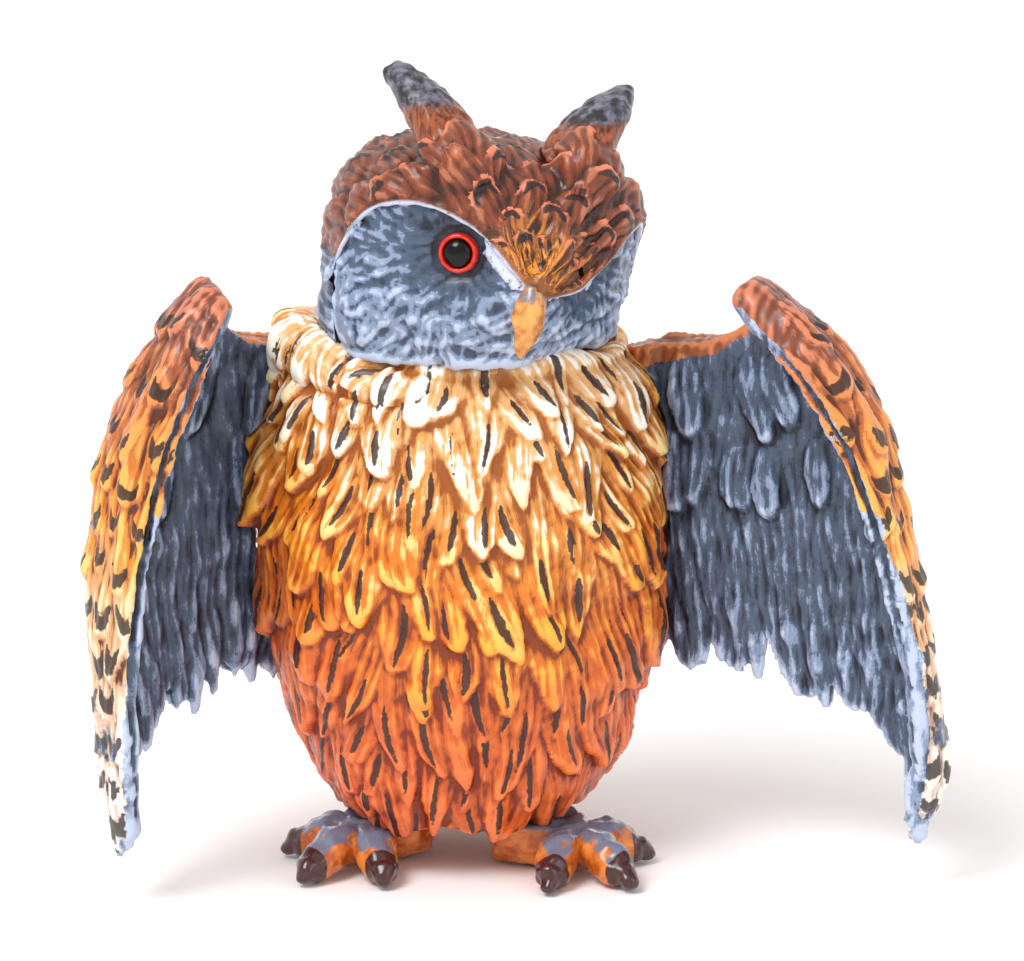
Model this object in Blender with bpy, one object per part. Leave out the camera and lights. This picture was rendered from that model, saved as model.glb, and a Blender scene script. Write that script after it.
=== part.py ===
"""Eagle-owl figurine in cold-painted cast metal: its separate castings, glass eyes and fasteners.

Sizes are in millimetres in the owl's own frame: it faces -Y, its left side is +X and it stands on z = 0.
place_on_origin() then moves the whole model so that the middle of its underside is the origin.
"""

import math

import bmesh
import bpy
from mathutils import Vector

MM = 0.001

# Castings and their fits
WALL = 2.2  # wall of the hollow torso and head castings
GAP = 0.3  # air left between pieces that meet
HOLE_PLAY = 0.3  # a hole's radius less its fastener's

# Torso
TORSO_HALF_WIDTH = 31.5
TORSO_FRONT = 26.0  # from the axis to the breast
TORSO_BACK = 22.0
TORSO_FLOOR = 7.2  # height of the flat underside
TORSO_NECK = 79.5  # height of the flat seat of the head
SEAM_Y = 8.0  # plane where the breast and back castings meet
# Share of the torso's height, then of its half width, front and back
TORSO_STATIONS = (
    (0.00, 0.56, 0.56, 0.56),
    (0.05, 0.66, 0.64, 0.66),
    (0.13, 0.76, 0.74, 0.77),
    (0.27, 0.87, 0.87, 0.88),
    (0.45, 0.96, 0.97, 0.96),
    (0.65, 1.00, 1.00, 1.00),
    (0.80, 0.98, 0.95, 0.96),
    (0.92, 0.91, 0.84, 0.88),
    (1.00, 0.78, 0.72, 0.76),
)

# Head, in a frame of its own that is turned about the vertical, then leant over
HEAD_X, HEAD_Y = 2.4, -4.7
HEAD_TURN = 20.0  # degrees towards the owl's left
HEAD_LEAN = 7.0  # degrees that its top leans over to the owl's left
HEAD_FRONT = 22.3
HEAD_SIDE = 22.6
HEAD_BACK = 21.0
HEAD_ABOVE = 17.0  # from the widest level up to the top
HEAD_BELOW = 15.0  # from the widest level down to the neck
HEAD_SQUARENESS = 2.8
BROW_CREST = 2.0
# Angle from straight ahead, then the height of the brow line over the head's widest level
BROW_LINE = (
    (0, -2.8), (9, 2.2), (22, 7.6), (42, 11.0),
    (57, 10.0), (68, 7.0), (78, 1.8), (86, -5.0),
)  # fmt: skip
FACE_EDGE = 84.0  # degrees from straight ahead to the side of the face
FACE_FOOT = 1.6  # from the seat of the head up to the foot of the face
# Angle from straight ahead, then the distance of the facial discs from the head's axis
FACE_LINE = ((0, 23.0), (10, 21.5), (27, 20.0), (45, 20.4), (60, 21.2), (84, 21.4))
DISC_DISH = 1.0
OPENING_DEPTH = 12.5  # reach of the cutter for the face's opening, inside and outside the head's front

# Eyes
EYE_ANGLE = 27.0  # degrees from straight ahead
EYE_LEVEL = 1.7
EYE_AIM = 32.0  # degrees that each eye looks to its side
IRIS_RADIUS = 3.0
IRIS_THICK = 1.6
GLASS_RADIUS = 1.85
GLASS_LENGTH = 6.5
GLASS_DOME = 1.3

# Beak and ear tufts
BEAK_TOP = -1.5
BEAK_LENGTH = 10.6
BEAK_HALF_WIDTH = 2.5
BEAK_DEPTH = 3.4
TUFT_SIDE, TUFT_AHEAD = 9.3, 10.5
TUFT_RADIUS = 5.2
TUFT_LENGTH = 15.6
TUFT_WAY = (9.0, -9.5, 12.5)  # how a tuft leans: to its side, ahead and up
TUFT_PIN_RADIUS = 1.0
TUFT_PIN_LENGTH = 8.0

# Wings, drawn as the owl's left one. All their heights are for a neck seat at WING_NECK, and stretch with it
WING_NECK = 79.5
WING_STRETCH = TORSO_NECK / WING_NECK
WING_ROOT = (14.0, 9.0)
WING_THICK = 2.4
WING_ROOT_THICK = 5.6
WING_ARM_END, WING_ARM_FADE = 0.66, 0.22  # where the thick arm ends, and the share of the way it thins over
WING_ARM_LOW, WING_ARM_RISE = 40.0, 14.0  # height at which the arm starts to thicken, and over how much
WING_BEND = 0.8  # share of the way from the root at which the sheet turns to its front rim
WING_CAMBER = 3.0
WING_CAMBER_AT = (0.45, 0.55)  # where it bows most: share along the sheet, share of the way to the bend
TIP_THIN = 0.65  # thickness of the lowest feather tips, as a share of the sheet's
TIP_THIN_LOW, TIP_THIN_RISE = 10.0, 40.0  # height up to which they are that thin, and the rise to full thickness
# Height, then the outermost point of the wing and its front rim there
LEFT_WING_STATIONS = (
    (6.0, 67.0, -17.0, 66.0, -19.0),
    (20.0, 69.8, -18.0, 67.8, -22.0),
    (36.0, 68.0, -18.0, 66.0, -24.5),
    (52.0, 65.0, -17.5, 61.6, -26.5),
    (67.0, 62.3, -16.5, 56.6, -27.5),
    (78.0, 58.0, -14.5, 50.5, -25.5),
    (86.0, 52.0, -12.0, 41.5, -22.0),
    (93.0, 41.5, -9.0, 37.5, -14.0),
)
RIGHT_WING_STATIONS = (
    (11.0, 49.0, -24.0, 48.0, -27.0),
    (26.0, 51.8, -22.0, 47.8, -29.0),
    (41.0, 53.0, -20.0, 47.0, -29.5),
    (56.0, 52.8, -18.0, 44.6, -30.0),
    (69.0, 50.4, -15.0, 41.5, -29.0),
    (81.0, 44.6, -13.0, 36.5, -27.0),
    (92.0, 37.0, -9.0, 31.0, -20.0),
)
# Share of the way from the root to the rim, then the height of the wing's upper edge
WING_TOP = (
    (0.0, 75.5), (0.14, 77.0), (0.28, 79.5), (0.45, 81.0),
    (0.60, 85.5), (0.75, 90.5), (0.86, 92.0), (1.0, 89.5),
)  # fmt: skip
# Feather tips along the lower edge: share of the way to the rim, height of the tip, half width as a share
WING_TIPS = (
    (0.06, 41.0, 0.10), (0.19, 36.0, 0.07), (0.30, 28.5, 0.045), (0.40, 29.5, 0.055),
    (0.54, 26.0, 0.045), (0.635, 25.5, 0.045), (0.72, 19.5, 0.04), (0.785, 14.5, 0.035),
    (0.87, 6.0, 0.06), (0.97, 9.0, 0.06),
)  # fmt: skip
TIP_DEPTH = 5.5
TIP_ROUND = 1.8  # power of the curve of each tip's edge

# Tail
TAIL_TOP, TAIL_END = 34.0, 3.0
TAIL_HALF_WIDTH = 13.0
TAIL_THICK = 5.0  # at its root, less towards its tip
TAIL_STAND = 1.7  # from the back of the torso to the middle of the root
TAIL_REACH = 25.0  # how far behind the torso's axis its tip comes
TAIL_FEATHERS = 6
TAIL_SWEEP = 1.6  # power of the curve that it sweeps back on
TAIL_HOLLOW = 3.0  # how far its middle lies behind its sides
TAIL_TOP_SHARE = 0.55  # its width at the top, as a share of its width at the tip
TAIL_NOTCH = 2.2  # depth of the notches between its feathers
TAIL_ROUND = 2.5  # how much higher its outer feathers end
TAIL_THIN = 0.62  # share of its thickness that it loses by its tip

# Feet: where each leg meets the torso, the middle of the foot, and each toe's tip from that middle
LEG_RADIUS = 7.6
LEFT_LEG, RIGHT_LEG = (11.0, -4.0), (-11.0, -2.5)
LEFT_FOOT, RIGHT_FOOT = (16.6, -7.5), (-14.6, -5.0)
TOES = ((-2.6, -10.8), (7.0, -9.8), (8.6, 1.4), (-3.5, 10.0))
TOE_RADIUS = 2.9
TOE_HEIGHT = 2.5
CLAW_RADIUS = 1.75
CLAW_LENGTH = 3.2

# Fasteners
NECK_STUD_RADIUS, NECK_STUD_LENGTH = 2.0, 18.0
LEG_STUD_RADIUS, LEG_STUD_LENGTH = 1.5, 11.0
LEG_STUD_DEPTH = 4.0  # how far each leg stud goes down into its leg
SCREW_RADIUS, SCREW_LENGTH = 1.1, 7.5
TAIL_SCREW_LENGTH = 3.6  # past the torso's surface, as is the length of the wing screws
SCREW_HEAD_RADIUS, SCREW_HEAD_THICK = 2.1, 1.4
WASHER_RADIUS, WASHER_THICK = 5.0, 0.8
NUT_RATIO, NUT_THICK_RATIO = 2.0, 1.3  # of the stud's radius: the nut's across-corners radius and thickness
WING_SCREW_HEIGHTS = (56.0, 72.0)
TAIL_SCREW_HEIGHT = 29.0

UP = (0, 0, 1)

# Facets
RING_SIDES = 32
ROUND_SIDES = 16


# ---------------------------------------------------------------- curves and meshes


def along(stations, at, column=1):
    """Value of a smooth curve through the stations, which are sorted on their first number."""
    xs = [s[0] for s in stations]
    ys = [s[column] for s in stations]
    at = min(max(at, xs[0]), xs[-1])
    i = max(k for k in range(len(xs) - 1) if xs[k] <= at)
    span = xs[i + 1] - xs[i]

    def slope(k):
        a, b = max(k - 1, 0), min(k + 1, len(xs) - 1)
        return (ys[b] - ys[a]) / (xs[b] - xs[a])

    t = (at - xs[i]) / span
    rise = ys[i + 1] - ys[i]
    m0, m1 = slope(i) * span, slope(i + 1) * span
    return ys[i] + t * m0 + t * t * (3 * rise - 2 * m0 - m1) + t**3 * (m0 + m1 - 2 * rise)


def new_piece(name, points, faces):
    """An object from points in millimetres, with its faces pointing out."""
    mesh = bpy.data.meshes.new(name)
    mesh.from_pydata([Vector(p) * MM for p in points], [], faces)
    bm = bmesh.new()
    bm.from_mesh(mesh)
    bmesh.ops.remove_doubles(bm, verts=bm.verts, dist=1e-7)
    bmesh.ops.recalc_face_normals(bm, faces=bm.faces)
    bm.to_mesh(mesh)
    bm.free()
    piece = bpy.data.objects.new(name, mesh)
    bpy.context.scene.collection.objects.link(piece)
    return piece


def rings_piece(name, rings):
    """A closed solid through rings of the same number of points, with flat ends."""
    count = len(rings[0])
    points = [p for ring in rings for p in ring]
    faces = [tuple(range(count)), tuple(range(len(points) - count, len(points)))]
    for r in range(len(rings) - 1):
        for k in range(count):
            a, b = r * count + k, r * count + (k + 1) % count
            faces.append((a, b, b + count, a + count))
    return new_piece(name, points, faces)


def axis_frame(axis):
    """Two unit vectors square to the axis and to each other."""
    axis = Vector(axis).normalized()
    side = axis.orthogonal().normalized()
    return side, axis.cross(side)


def turned(name, profile, base, axis, sides=ROUND_SIDES):
    """A solid of revolution about an axis through base, from (distance along, radius) pairs."""
    axis, base = Vector(axis).normalized(), Vector(base)
    side, up = axis_frame(axis)
    rings = []
    for distance, radius in profile:
        turn = [2 * math.pi * k / sides for k in range(sides)]
        middle = base + axis * distance
        rings.append([middle + (side * math.cos(t) + up * math.sin(t)) * radius for t in turn])
    return rings_piece(name, rings)


def rod(name, base, axis, radius, length, sides=ROUND_SIDES):
    return turned(name, ((0, radius), (length, radius)), base, axis, sides)


def tube(name, path, radii, sides=10, ends=3):
    """A round bar along a path with rounded ends."""
    path = [Vector(p) for p in path]
    steps = [math.pi / 2 * (1 - k / ends) for k in range(1, ends)]
    first, last = (path[1] - path[0]).normalized(), (path[-1] - path[-2]).normalized()
    centres = [path[0] - first * radii[0] * math.sin(a) for a in steps] + path
    centres += [path[-1] + last * radii[-1] * math.sin(a) for a in reversed(steps)]
    sizes = [radii[0] * math.cos(a) for a in steps] + list(radii)
    sizes += [radii[-1] * math.cos(a) for a in reversed(steps)]
    side = first.orthogonal().normalized()
    rings = []
    for k, centre in enumerate(centres):
        ahead = centres[min(k + 1, len(centres) - 1)] - centres[max(k - 1, 0)]
        side = (side - ahead.normalized() * side.dot(ahead.normalized())).normalized()
        up = ahead.normalized().cross(side)
        turn = [2 * math.pi * n / sides for n in range(sides)]
        rings.append([centre + (side * math.cos(t) + up * math.sin(t)) * sizes[k] for t in turn])
    return rings_piece(name, rings)


def block(name, low, high):
    bm = bmesh.new()
    bmesh.ops.create_cube(bm, size=1.0)
    low, high = Vector(low), Vector(high)
    for vert in bm.verts:
        vert.co = Vector([(low[i] + high[i]) / 2 + vert.co[i] * (high[i] - low[i]) for i in range(3)]) * MM
    mesh = bpy.data.meshes.new(name)
    bm.to_mesh(mesh)
    bm.free()
    piece = bpy.data.objects.new(name, mesh)
    bpy.context.scene.collection.objects.link(piece)
    return piece


def combine(piece, other, operation):
    """Applies one Boolean to the piece and removes the other solid."""
    modifier = piece.modifiers.new("combine", "BOOLEAN")
    modifier.operation = operation
    modifier.object = other
    modifier.solver = "EXACT"
    graph = bpy.context.evaluated_depsgraph_get()
    made = bpy.data.meshes.new_from_object(piece.evaluated_get(graph))
    piece.modifiers.clear()
    piece.data = made
    bpy.data.objects.remove(other)
    return piece


def cut(piece, *cutters):
    for cutter in cutters:
        combine(piece, cutter, "DIFFERENCE")
    return piece


def join(piece, *others):
    for other in others:
        combine(piece, other, "UNION")
    return piece


# ---------------------------------------------------------------- torso


def torso_point(angle, height, grow=0.0):
    """Point of the torso's outer surface. Angle 0 is the breast and 90 the owl's left side."""
    share = (height - TORSO_FLOOR) / (TORSO_NECK - TORSO_FLOOR)
    side = TORSO_HALF_WIDTH * along(TORSO_STATIONS, share, 1) + grow
    front = TORSO_FRONT * along(TORSO_STATIONS, share, 2) + grow
    back = TORSO_BACK * along(TORSO_STATIONS, share, 3) + grow
    s, c = math.sin(math.radians(angle)), math.cos(math.radians(angle))
    depth = front if c > 0 else back
    return Vector((side * s, -depth * c, height))


def torso_form(name, grow=0.0, low=TORSO_FLOOR, high=TORSO_NECK, rings=13):
    """The torso's outer surface as a solid, grown sideways, from one height to another."""
    heights = [low + (high - low) * k / (rings - 1) for k in range(rings)]
    return rings_piece(
        name, [[torso_point(360 * k / RING_SIDES, h, grow) for k in range(RING_SIDES)] for h in heights]
    )


def torso_cutter(name):
    """The torso grown by the gap, to seat what is fixed on its side."""
    return torso_form(name, GAP, TORSO_FLOOR - GAP, TORSO_NECK + GAP)


def neck_axis():
    return Vector((HEAD_X, HEAD_Y + 2.0, 0))


def torso_shells():
    """The breast and back castings: one hollow form cut at the seam."""
    far = 3 * TORSO_HALF_WIDTH
    shells = []
    for name, low_y, high_y in (
        ("breast_shell", -far, SEAM_Y - GAP / 2),
        ("back_shell", SEAM_Y + GAP / 2, far),
    ):
        shell = torso_form(name)
        cut(shell, torso_form("hollow", -WALL, TORSO_FLOOR + WALL, TORSO_NECK - WALL, 8))
        combine(shell, block("half", (-far, low_y, 0), (far, high_y, 2 * TORSO_NECK)), "INTERSECT")
        shells.append(shell)
    breast, back = shells
    cut(breast, rod("neck_hole", neck_axis() + Vector((0, 0, TORSO_NECK - 2 * WALL)), UP,
                    NECK_STUD_RADIUS + HOLE_PLAY, 4 * WALL))  # fmt: skip
    for leg in (LEFT_LEG, RIGHT_LEG):
        cut(breast, rod("leg_hole", (*leg, TORSO_FLOOR - WALL), UP, LEG_STUD_RADIUS + HOLE_PLAY, 3 * WALL))
    for base, axis in wing_screw_places():
        cut(breast, screw_hole(base, axis, 2 * WALL), screw_seat(base, axis))
    cut(back, screw_hole(*tail_screw_place(), 2 * WALL), screw_seat(*tail_screw_place()))
    return breast, back


def screw_hole(base, axis, depth):
    """Cutter for a screw's shank, from inside the torso to a depth past its surface."""
    start = 2.5 * WALL
    return rod("screw_hole", base - axis * start, axis, SCREW_RADIUS + HOLE_PLAY, start + depth + GAP)


def screw_seat(base, axis):
    """Cutter that faces the inside of the wall square under a screw's head."""
    reach = SCREW_HEAD_THICK + 5.0
    return rod("screw_seat", base - axis * (WALL + reach), axis, SCREW_HEAD_RADIUS + GAP, reach)


# ---------------------------------------------------------------- head


def head_level():
    """Height of the head's widest level."""
    return TORSO_NECK + GAP + HEAD_BELOW


def head_axes():
    """The head's own left, ahead and up directions."""
    turn, lean = math.radians(HEAD_TURN), math.radians(HEAD_LEAN)
    side = Vector((math.cos(turn), math.sin(turn), 0))
    upright = Vector(UP)
    left = side * math.cos(lean) - upright * math.sin(lean)
    up = upright * math.cos(lean) + side * math.sin(lean)
    return left, Vector((math.sin(turn), -math.cos(turn), 0)), up


def head_at(angle, distance, level):
    """Point at an angle from straight ahead, a distance from the head's axis and a level over its widest."""
    left, ahead, up = head_axes()
    a = math.radians(angle)
    centre = Vector((HEAD_X, HEAD_Y, head_level()))
    return centre + (left * math.sin(a) + ahead * math.cos(a)) * distance + up * level


def head_radius(angle, level, crest=True):
    """Distance of the crown casting's surface from the head's axis."""
    off = abs((angle + 180) % 360 - 180)
    c = math.cos(math.radians(off))
    end = HEAD_FRONT if c > 0 else HEAD_BACK
    reach = 1 / math.sqrt((c / end) ** 2 + (math.sin(math.radians(off)) / HEAD_SIDE) ** 2)
    limit = HEAD_ABOVE if level > 0 else 1.9 * HEAD_BELOW
    share = min(abs(level) / limit, 1.0)
    radius = reach * (1 - share**HEAD_SQUARENESS) ** (1 / HEAD_SQUARENESS)
    if crest and off < 90:
        above = (level - along(BROW_LINE, off) - 1.5) / 4.0
        fade = min(1.0, (90 - off) / 20)
        radius += BROW_CREST * fade * math.exp(-above * above)
    return radius


def over(height):
    """Everything above a height, as a solid to intersect with."""
    return block("over", (-90, -90, height), (90, 90, 3 * TORSO_NECK))


def head_form(name, foot, grow=0.0, crest=True, sides=36, rings=15):
    """The crown casting's outer surface as a solid that stands on a height."""
    low = -HEAD_BELOW - 6.0
    top = HEAD_ABOVE + grow
    made = []
    for k in range(rings):
        swing = math.pi / 2 * k / (rings - 1)
        level = low + (top * 0.995 - low) * math.sin(swing)
        scaled = level * HEAD_ABOVE / top if level > 0 else level
        made.append(
            [head_at(360 * n / sides, max(head_radius(360 * n / sides, scaled, crest) + grow, 1.5), level)
             for n in range(sides)]
        )  # fmt: skip
    return combine(rings_piece(name, made), over(foot), "INTERSECT")


def face_radius(angle, level, grow=0.0):
    """Distance of the facial discs from the head's axis."""
    off = abs(angle)
    radius = along(FACE_LINE, off)
    near = ((off - EYE_ANGLE) / 16) ** 2 + ((level - EYE_LEVEL) / 7) ** 2
    radius -= DISC_DISH * math.exp(-near)
    tuck = max(0.0, (9.0 - HEAD_BELOW - level) / 7.0)
    return radius - 1.6 * tuck * tuck + grow


def face_patch(name, inner, outer, edge, foot, above, widen=0.0):
    """A curved slab over the face that stands on a height, between two surfaces given by angle and level."""
    columns, rows = 32, 6
    low = -HEAD_BELOW - 5.0
    points = []
    for surface in (outer, inner):
        for i in range(columns + 1):
            angle = -edge + 2 * edge * i / columns
            top = along(BROW_LINE, abs(angle)) + above
            angle += widen * ((i == columns) - (i == 0))
            for j in range(rows + 1):
                level = low + (top - low) * j / rows
                points.append(head_at(angle, surface(angle, level), level))
    count = (columns + 1) * (rows + 1)

    def at(i, j, side):
        return side * count + i * (rows + 1) + j

    faces = []
    for i in range(columns):
        for j in range(rows):
            for side in (0, 1):
                faces.append((at(i, j, side), at(i + 1, j, side), at(i + 1, j + 1, side), at(i, j + 1, side)))
        for j in (0, rows):
            faces.append((at(i, j, 0), at(i + 1, j, 0), at(i + 1, j, 1), at(i, j, 1)))
    for j in range(rows):
        for i in (0, columns):
            faces.append((at(i, j, 0), at(i, j + 1, 0), at(i, j + 1, 1), at(i, j, 1)))
    return combine(new_piece(name, points, faces), over(foot), "INTERSECT")


def eye_place(side):
    """Centre of an eye on its disc, and the way it looks. Side is 1 for the owl's left."""
    left, ahead, _ = head_axes()
    a = math.radians(EYE_AIM)
    centre = head_at(side * EYE_ANGLE, face_radius(EYE_ANGLE, EYE_LEVEL), EYE_LEVEL)
    return centre, (ahead * math.cos(a) + left * math.sin(a) * side).normalized()


def crown_shell():
    """The hollow crown and nape casting, open in front for the face."""
    seat = TORSO_NECK + GAP
    crown = head_form("crown_shell", seat)
    hollow = head_form("hollow", seat + WALL, -WALL, False, 22, 9)
    opening = face_patch(
        "opening",
        lambda a, h: HEAD_FRONT - OPENING_DEPTH,
        lambda a, h: HEAD_FRONT + OPENING_DEPTH,
        FACE_EDGE,
        seat + FACE_FOOT - GAP,
        GAP,
        1.0,
    )
    stud = rod("stud_hole", neck_axis() + Vector((0, 0, TORSO_NECK - WALL)), UP,
               NECK_STUD_RADIUS + HOLE_PLAY, 3 * WALL)  # fmt: skip
    cut(crown, hollow, opening, stud)
    for side in (1, -1):
        base, axis = tuft_pin_place(side)
        cut(crown, rod("pin_hole", base - axis * 3, axis, TUFT_PIN_RADIUS + HOLE_PLAY, TUFT_PIN_LENGTH))
    return crown


def face_mask():
    """The two facial discs as one thin casting with a hole for each eye."""
    mask = face_patch(
        "face_mask",
        lambda a, h: face_radius(a, h) - WALL,
        face_radius,
        FACE_EDGE,
        TORSO_NECK + GAP + FACE_FOOT,
        -3 * GAP,
    )
    for side in (1, -1):
        centre, aim = eye_place(side)
        cut(mask, rod("eye_hole", centre - aim * 3 * WALL, aim, GLASS_RADIUS + HOLE_PLAY, 6 * WALL))
        cut(mask, rod("iris_seat", centre - aim * (IRIS_THICK * 0.5 + GAP), aim, IRIS_RADIUS + GAP, 3 * WALL))
    return mask


def eye_pieces(side, label):
    """A glass eye on its stem, and the iris ring that it stands in."""
    centre, aim = eye_place(side)
    front = IRIS_THICK * 0.5
    ring = turned(
        label + "_iris_ring",
        ((-front, IRIS_RADIUS), (front * 0.4, IRIS_RADIUS), (front, (IRIS_RADIUS + GLASS_RADIUS + GAP) / 2)),
        centre,
        aim,
        20,
    )
    cut(ring, rod("eye_hole", centre - aim * 3 * WALL, aim, GLASS_RADIUS + GAP, 6 * WALL, 20))
    stem = GLASS_LENGTH - GLASS_DOME
    profile = [(-stem, GLASS_RADIUS * 0.55), (-stem * 0.45, GLASS_RADIUS * 0.55), (-stem * 0.4, GLASS_RADIUS)]
    for k in range(6):
        a = math.pi / 2 * k / 5.4
        profile.append((front * 0.6 + GLASS_DOME * math.sin(a), GLASS_RADIUS * math.cos(a)))
    return ring, turned(label + "_eye_glass", profile, centre, aim, 20)


def beak():
    """The hooked beak, seated on the ridge of the face below the brow."""
    rings = []
    steps = 9
    for k in range(steps + 1):
        t = k / steps
        level = BEAK_TOP - BEAK_LENGTH * t
        wide = BEAK_HALF_WIDTH * (1 - t) ** 0.55 + 0.35
        forward = face_radius(0, BEAK_TOP) - 1.0 + (BEAK_DEPTH + 1.4) * math.sin(math.pi * (0.28 + 0.52 * t))
        root = face_radius(0, level) - 0.6 if t < 0.55 else forward - 0.8 - 2.6 * (1 - t)
        ring = []
        for n in range(14):
            a = 2 * math.pi * n / 14
            middle, reach = (forward + root) / 2, (forward - root) / 2
            point = head_at(0, middle + reach * math.cos(a), level)
            ring.append(point + head_axes()[0] * wide * math.sin(a) * (1 - 0.35 * max(0.0, math.cos(a))))
        rings.append(ring)
    solid = rings_piece("beak", rings)
    seat = face_patch(
        "seat", lambda a, h: 5.0, lambda a, h: face_radius(a, h, GAP), 40.0, TORSO_NECK, GAP
    )
    return cut(solid, head_form("crown_seat", TORSO_NECK, 1.5 * GAP), seat)


def tuft_foot(side):
    """Where a tuft's middle meets the crown."""
    angle = math.degrees(math.atan2(side * TUFT_SIDE, TUFT_AHEAD))
    distance = math.hypot(TUFT_SIDE, TUFT_AHEAD)
    level = max(h / 10 for h in range(int(HEAD_ABOVE * 10)) if head_radius(angle, h / 10, False) >= distance)
    return head_at(angle, distance, level)


def tuft_axis(side):
    left, ahead, up = head_axes()
    lean = Vector(TUFT_WAY).normalized()
    return left * lean.x * side + ahead * lean.y + up * lean.z


def tuft_pin_place(side):
    axis = tuft_axis(side)
    return tuft_foot(side) - axis * 3.0, axis


def ear_tuft(side, label):
    """A feather tuft: a flattened horn that curls up towards its tip."""
    foot, axis = tuft_foot(side), tuft_axis(side)
    left, ahead, up = head_axes()
    across = (left * side + ahead * 0.8).normalized()
    across = (across - axis * across.dot(axis)).normalized()
    thin = axis.cross(across)
    rings = []
    for k in range(11):
        t = k / 10
        centre = foot + axis * (TUFT_LENGTH * (1.25 * t - 0.25)) + up * (1.6 * math.sin(math.pi * t))
        wide = TUFT_RADIUS * (1.12 - 0.35 * t - 0.55 * t**3)
        deep = TUFT_RADIUS * (0.85 - 0.42 * t - 0.15 * t**3)
        turn = [2 * math.pi * n / 14 for n in range(14)]
        rings.append([centre + across * wide * math.cos(a) + thin * deep * math.sin(a) for a in turn])
    solid = rings_piece(label + "_ear_tuft", rings)
    base, way = tuft_pin_place(side)
    return cut(
        solid,
        head_form("crown_seat", TORSO_NECK, GAP),
        rod("pin_hole", base, way, TUFT_PIN_RADIUS + HOLE_PLAY, TUFT_PIN_LENGTH + GAP),
    )


# ---------------------------------------------------------------- wings and tail


def wing_spine(stations, share, height):
    """Point of a wing's middle surface, a share of the way from its root to its front rim."""
    drawn = height / WING_STRETCH
    root = Vector(WING_ROOT)
    bend = Vector((along(stations, drawn, 1), along(stations, drawn, 2)))
    rim = Vector((along(stations, drawn, 3), along(stations, drawn, 4)))
    way = bend - root
    out = Vector((-way.y, way.x)).normalized()
    bow_at, bow_way = WING_CAMBER_AT
    knots = [(0.0, root), (bow_at, root + way * bow_way + out * WING_CAMBER), (WING_BEND, bend), (1.0, rim)]
    x, y = (along([(k, p[i]) for k, p in knots], share) for i in (0, 1))
    return Vector((x, y, height))


def wing_top(share):
    return along(WING_TOP, share) * WING_STRETCH


def wing_bottom(share):
    """Height of the wing's lower edge, a row of feather tips."""
    drawn = min(tip + TIP_DEPTH * (abs(share - at) / half) ** TIP_ROUND for at, tip, half in WING_TIPS)
    return drawn * WING_STRETCH


def wing_thickness(share, height):
    """Thickness of the sheet: a stout arm near the root and thin feather tips."""

    def rise(value, start, over):
        return min(1.0, max(0.0, (value - start) / over))

    drawn = height / WING_STRETCH
    arm = rise(WING_ARM_END - share, 0, WING_ARM_FADE) * rise(drawn, WING_ARM_LOW, WING_ARM_RISE)
    thin = TIP_THIN + (1 - TIP_THIN) * rise(drawn, TIP_THIN_LOW, TIP_THIN_RISE)
    return WING_THICK * thin + (WING_ROOT_THICK - WING_THICK) * arm


def wing(side, label, stations):
    """One wing casting: a bent sheet with a rolled front rim and a lower edge of feather tips."""
    columns, rows = 40, 8
    outer, inner = [], []
    for i in range(columns + 1):
        u = i / columns
        top, bottom = wing_top(u), min(wing_bottom(u), wing_top(u) - 20)
        for j in range(rows + 1):
            z = top + (bottom - top) * j / rows
            p = wing_spine(stations, u, z)
            du = wing_spine(stations, min(u + 0.01, 1), z) - wing_spine(stations, max(u - 0.01, 0), z)
            dz = wing_spine(stations, u, z + 0.5) - wing_spine(stations, u, z - 0.5)
            normal = du.cross(dz).normalized() * wing_thickness(u, z) / 2
            outer.append(p - normal)
            inner.append(p + normal)
            if i == columns:
                outer[-1] += du.normalized() * 0.2
                inner[-1] += du.normalized() * 0.2
    rim = [(a + b) / 2 + (a - b).cross(Vector(UP)).normalized() * -WING_THICK * 0.45
           for a, b in zip(outer[-(rows + 1):], inner[-(rows + 1):])]  # fmt: skip
    points = outer + inner + rim
    count = len(outer)

    def at(i, j, face):
        return face * count + i * (rows + 1) + j

    faces = []
    for i in range(columns):
        for j in range(rows):
            for face in (0, 1):
                faces.append((at(i, j, face), at(i + 1, j, face), at(i + 1, j + 1, face), at(i, j + 1, face)))
        for j in (0, rows):
            faces.append((at(i, j, 0), at(i + 1, j, 0), at(i + 1, j, 1), at(i, j, 1)))
    for j in range(rows):
        faces.append((at(0, j, 0), at(0, j + 1, 0), at(0, j + 1, 1), at(0, j, 1)))
        for face in (0, 1):
            faces.append((at(columns, j, face), at(columns, j + 1, face), 2 * count + j + 1, 2 * count + j))
    for j in (0, rows):
        faces.append((at(columns, j, 0), at(columns, j, 1), 2 * count + j))
    points = [Vector((p.x * side, p.y, p.z)) for p in points]
    solid = new_piece(label + "_wing", points, faces)
    cut(solid, torso_cutter("torso_seat"))
    for base, axis in wing_screw_places():
        if base.x * side > 0:
            cut(solid, screw_hole(base, axis, SCREW_LENGTH))
    return solid


def in_torso(point):
    angle = math.degrees(math.atan2(point.x, -point.y))
    for _ in range(8):
        edge = torso_point(angle, point.z)
        angle += math.degrees(math.atan2(point.x, -point.y) - math.atan2(edge.x, -edge.y))
    return point.xy.length < torso_point(angle, point.z).xy.length


def wing_screw_places():
    """Where each wing screw's line crosses the torso's surface, and the way it points into the wing."""
    places = []
    for side, stations in ((1, LEFT_WING_STATIONS), (-1, RIGHT_WING_STATIONS)):
        for height in (drawn * WING_STRETCH for drawn in WING_SCREW_HEIGHTS):
            share = 0.0
            while in_torso(wing_spine(stations, share, height)):
                share += 0.005
            base = wing_spine(stations, share, height)
            axis = wing_spine(stations, share + 0.12, height) - wing_spine(stations, share - 0.08, height)
            axis = Vector((axis.x * side, axis.y, 0)).normalized()
            places.append((Vector((base.x * side, base.y, height)), axis))
    return places


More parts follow.
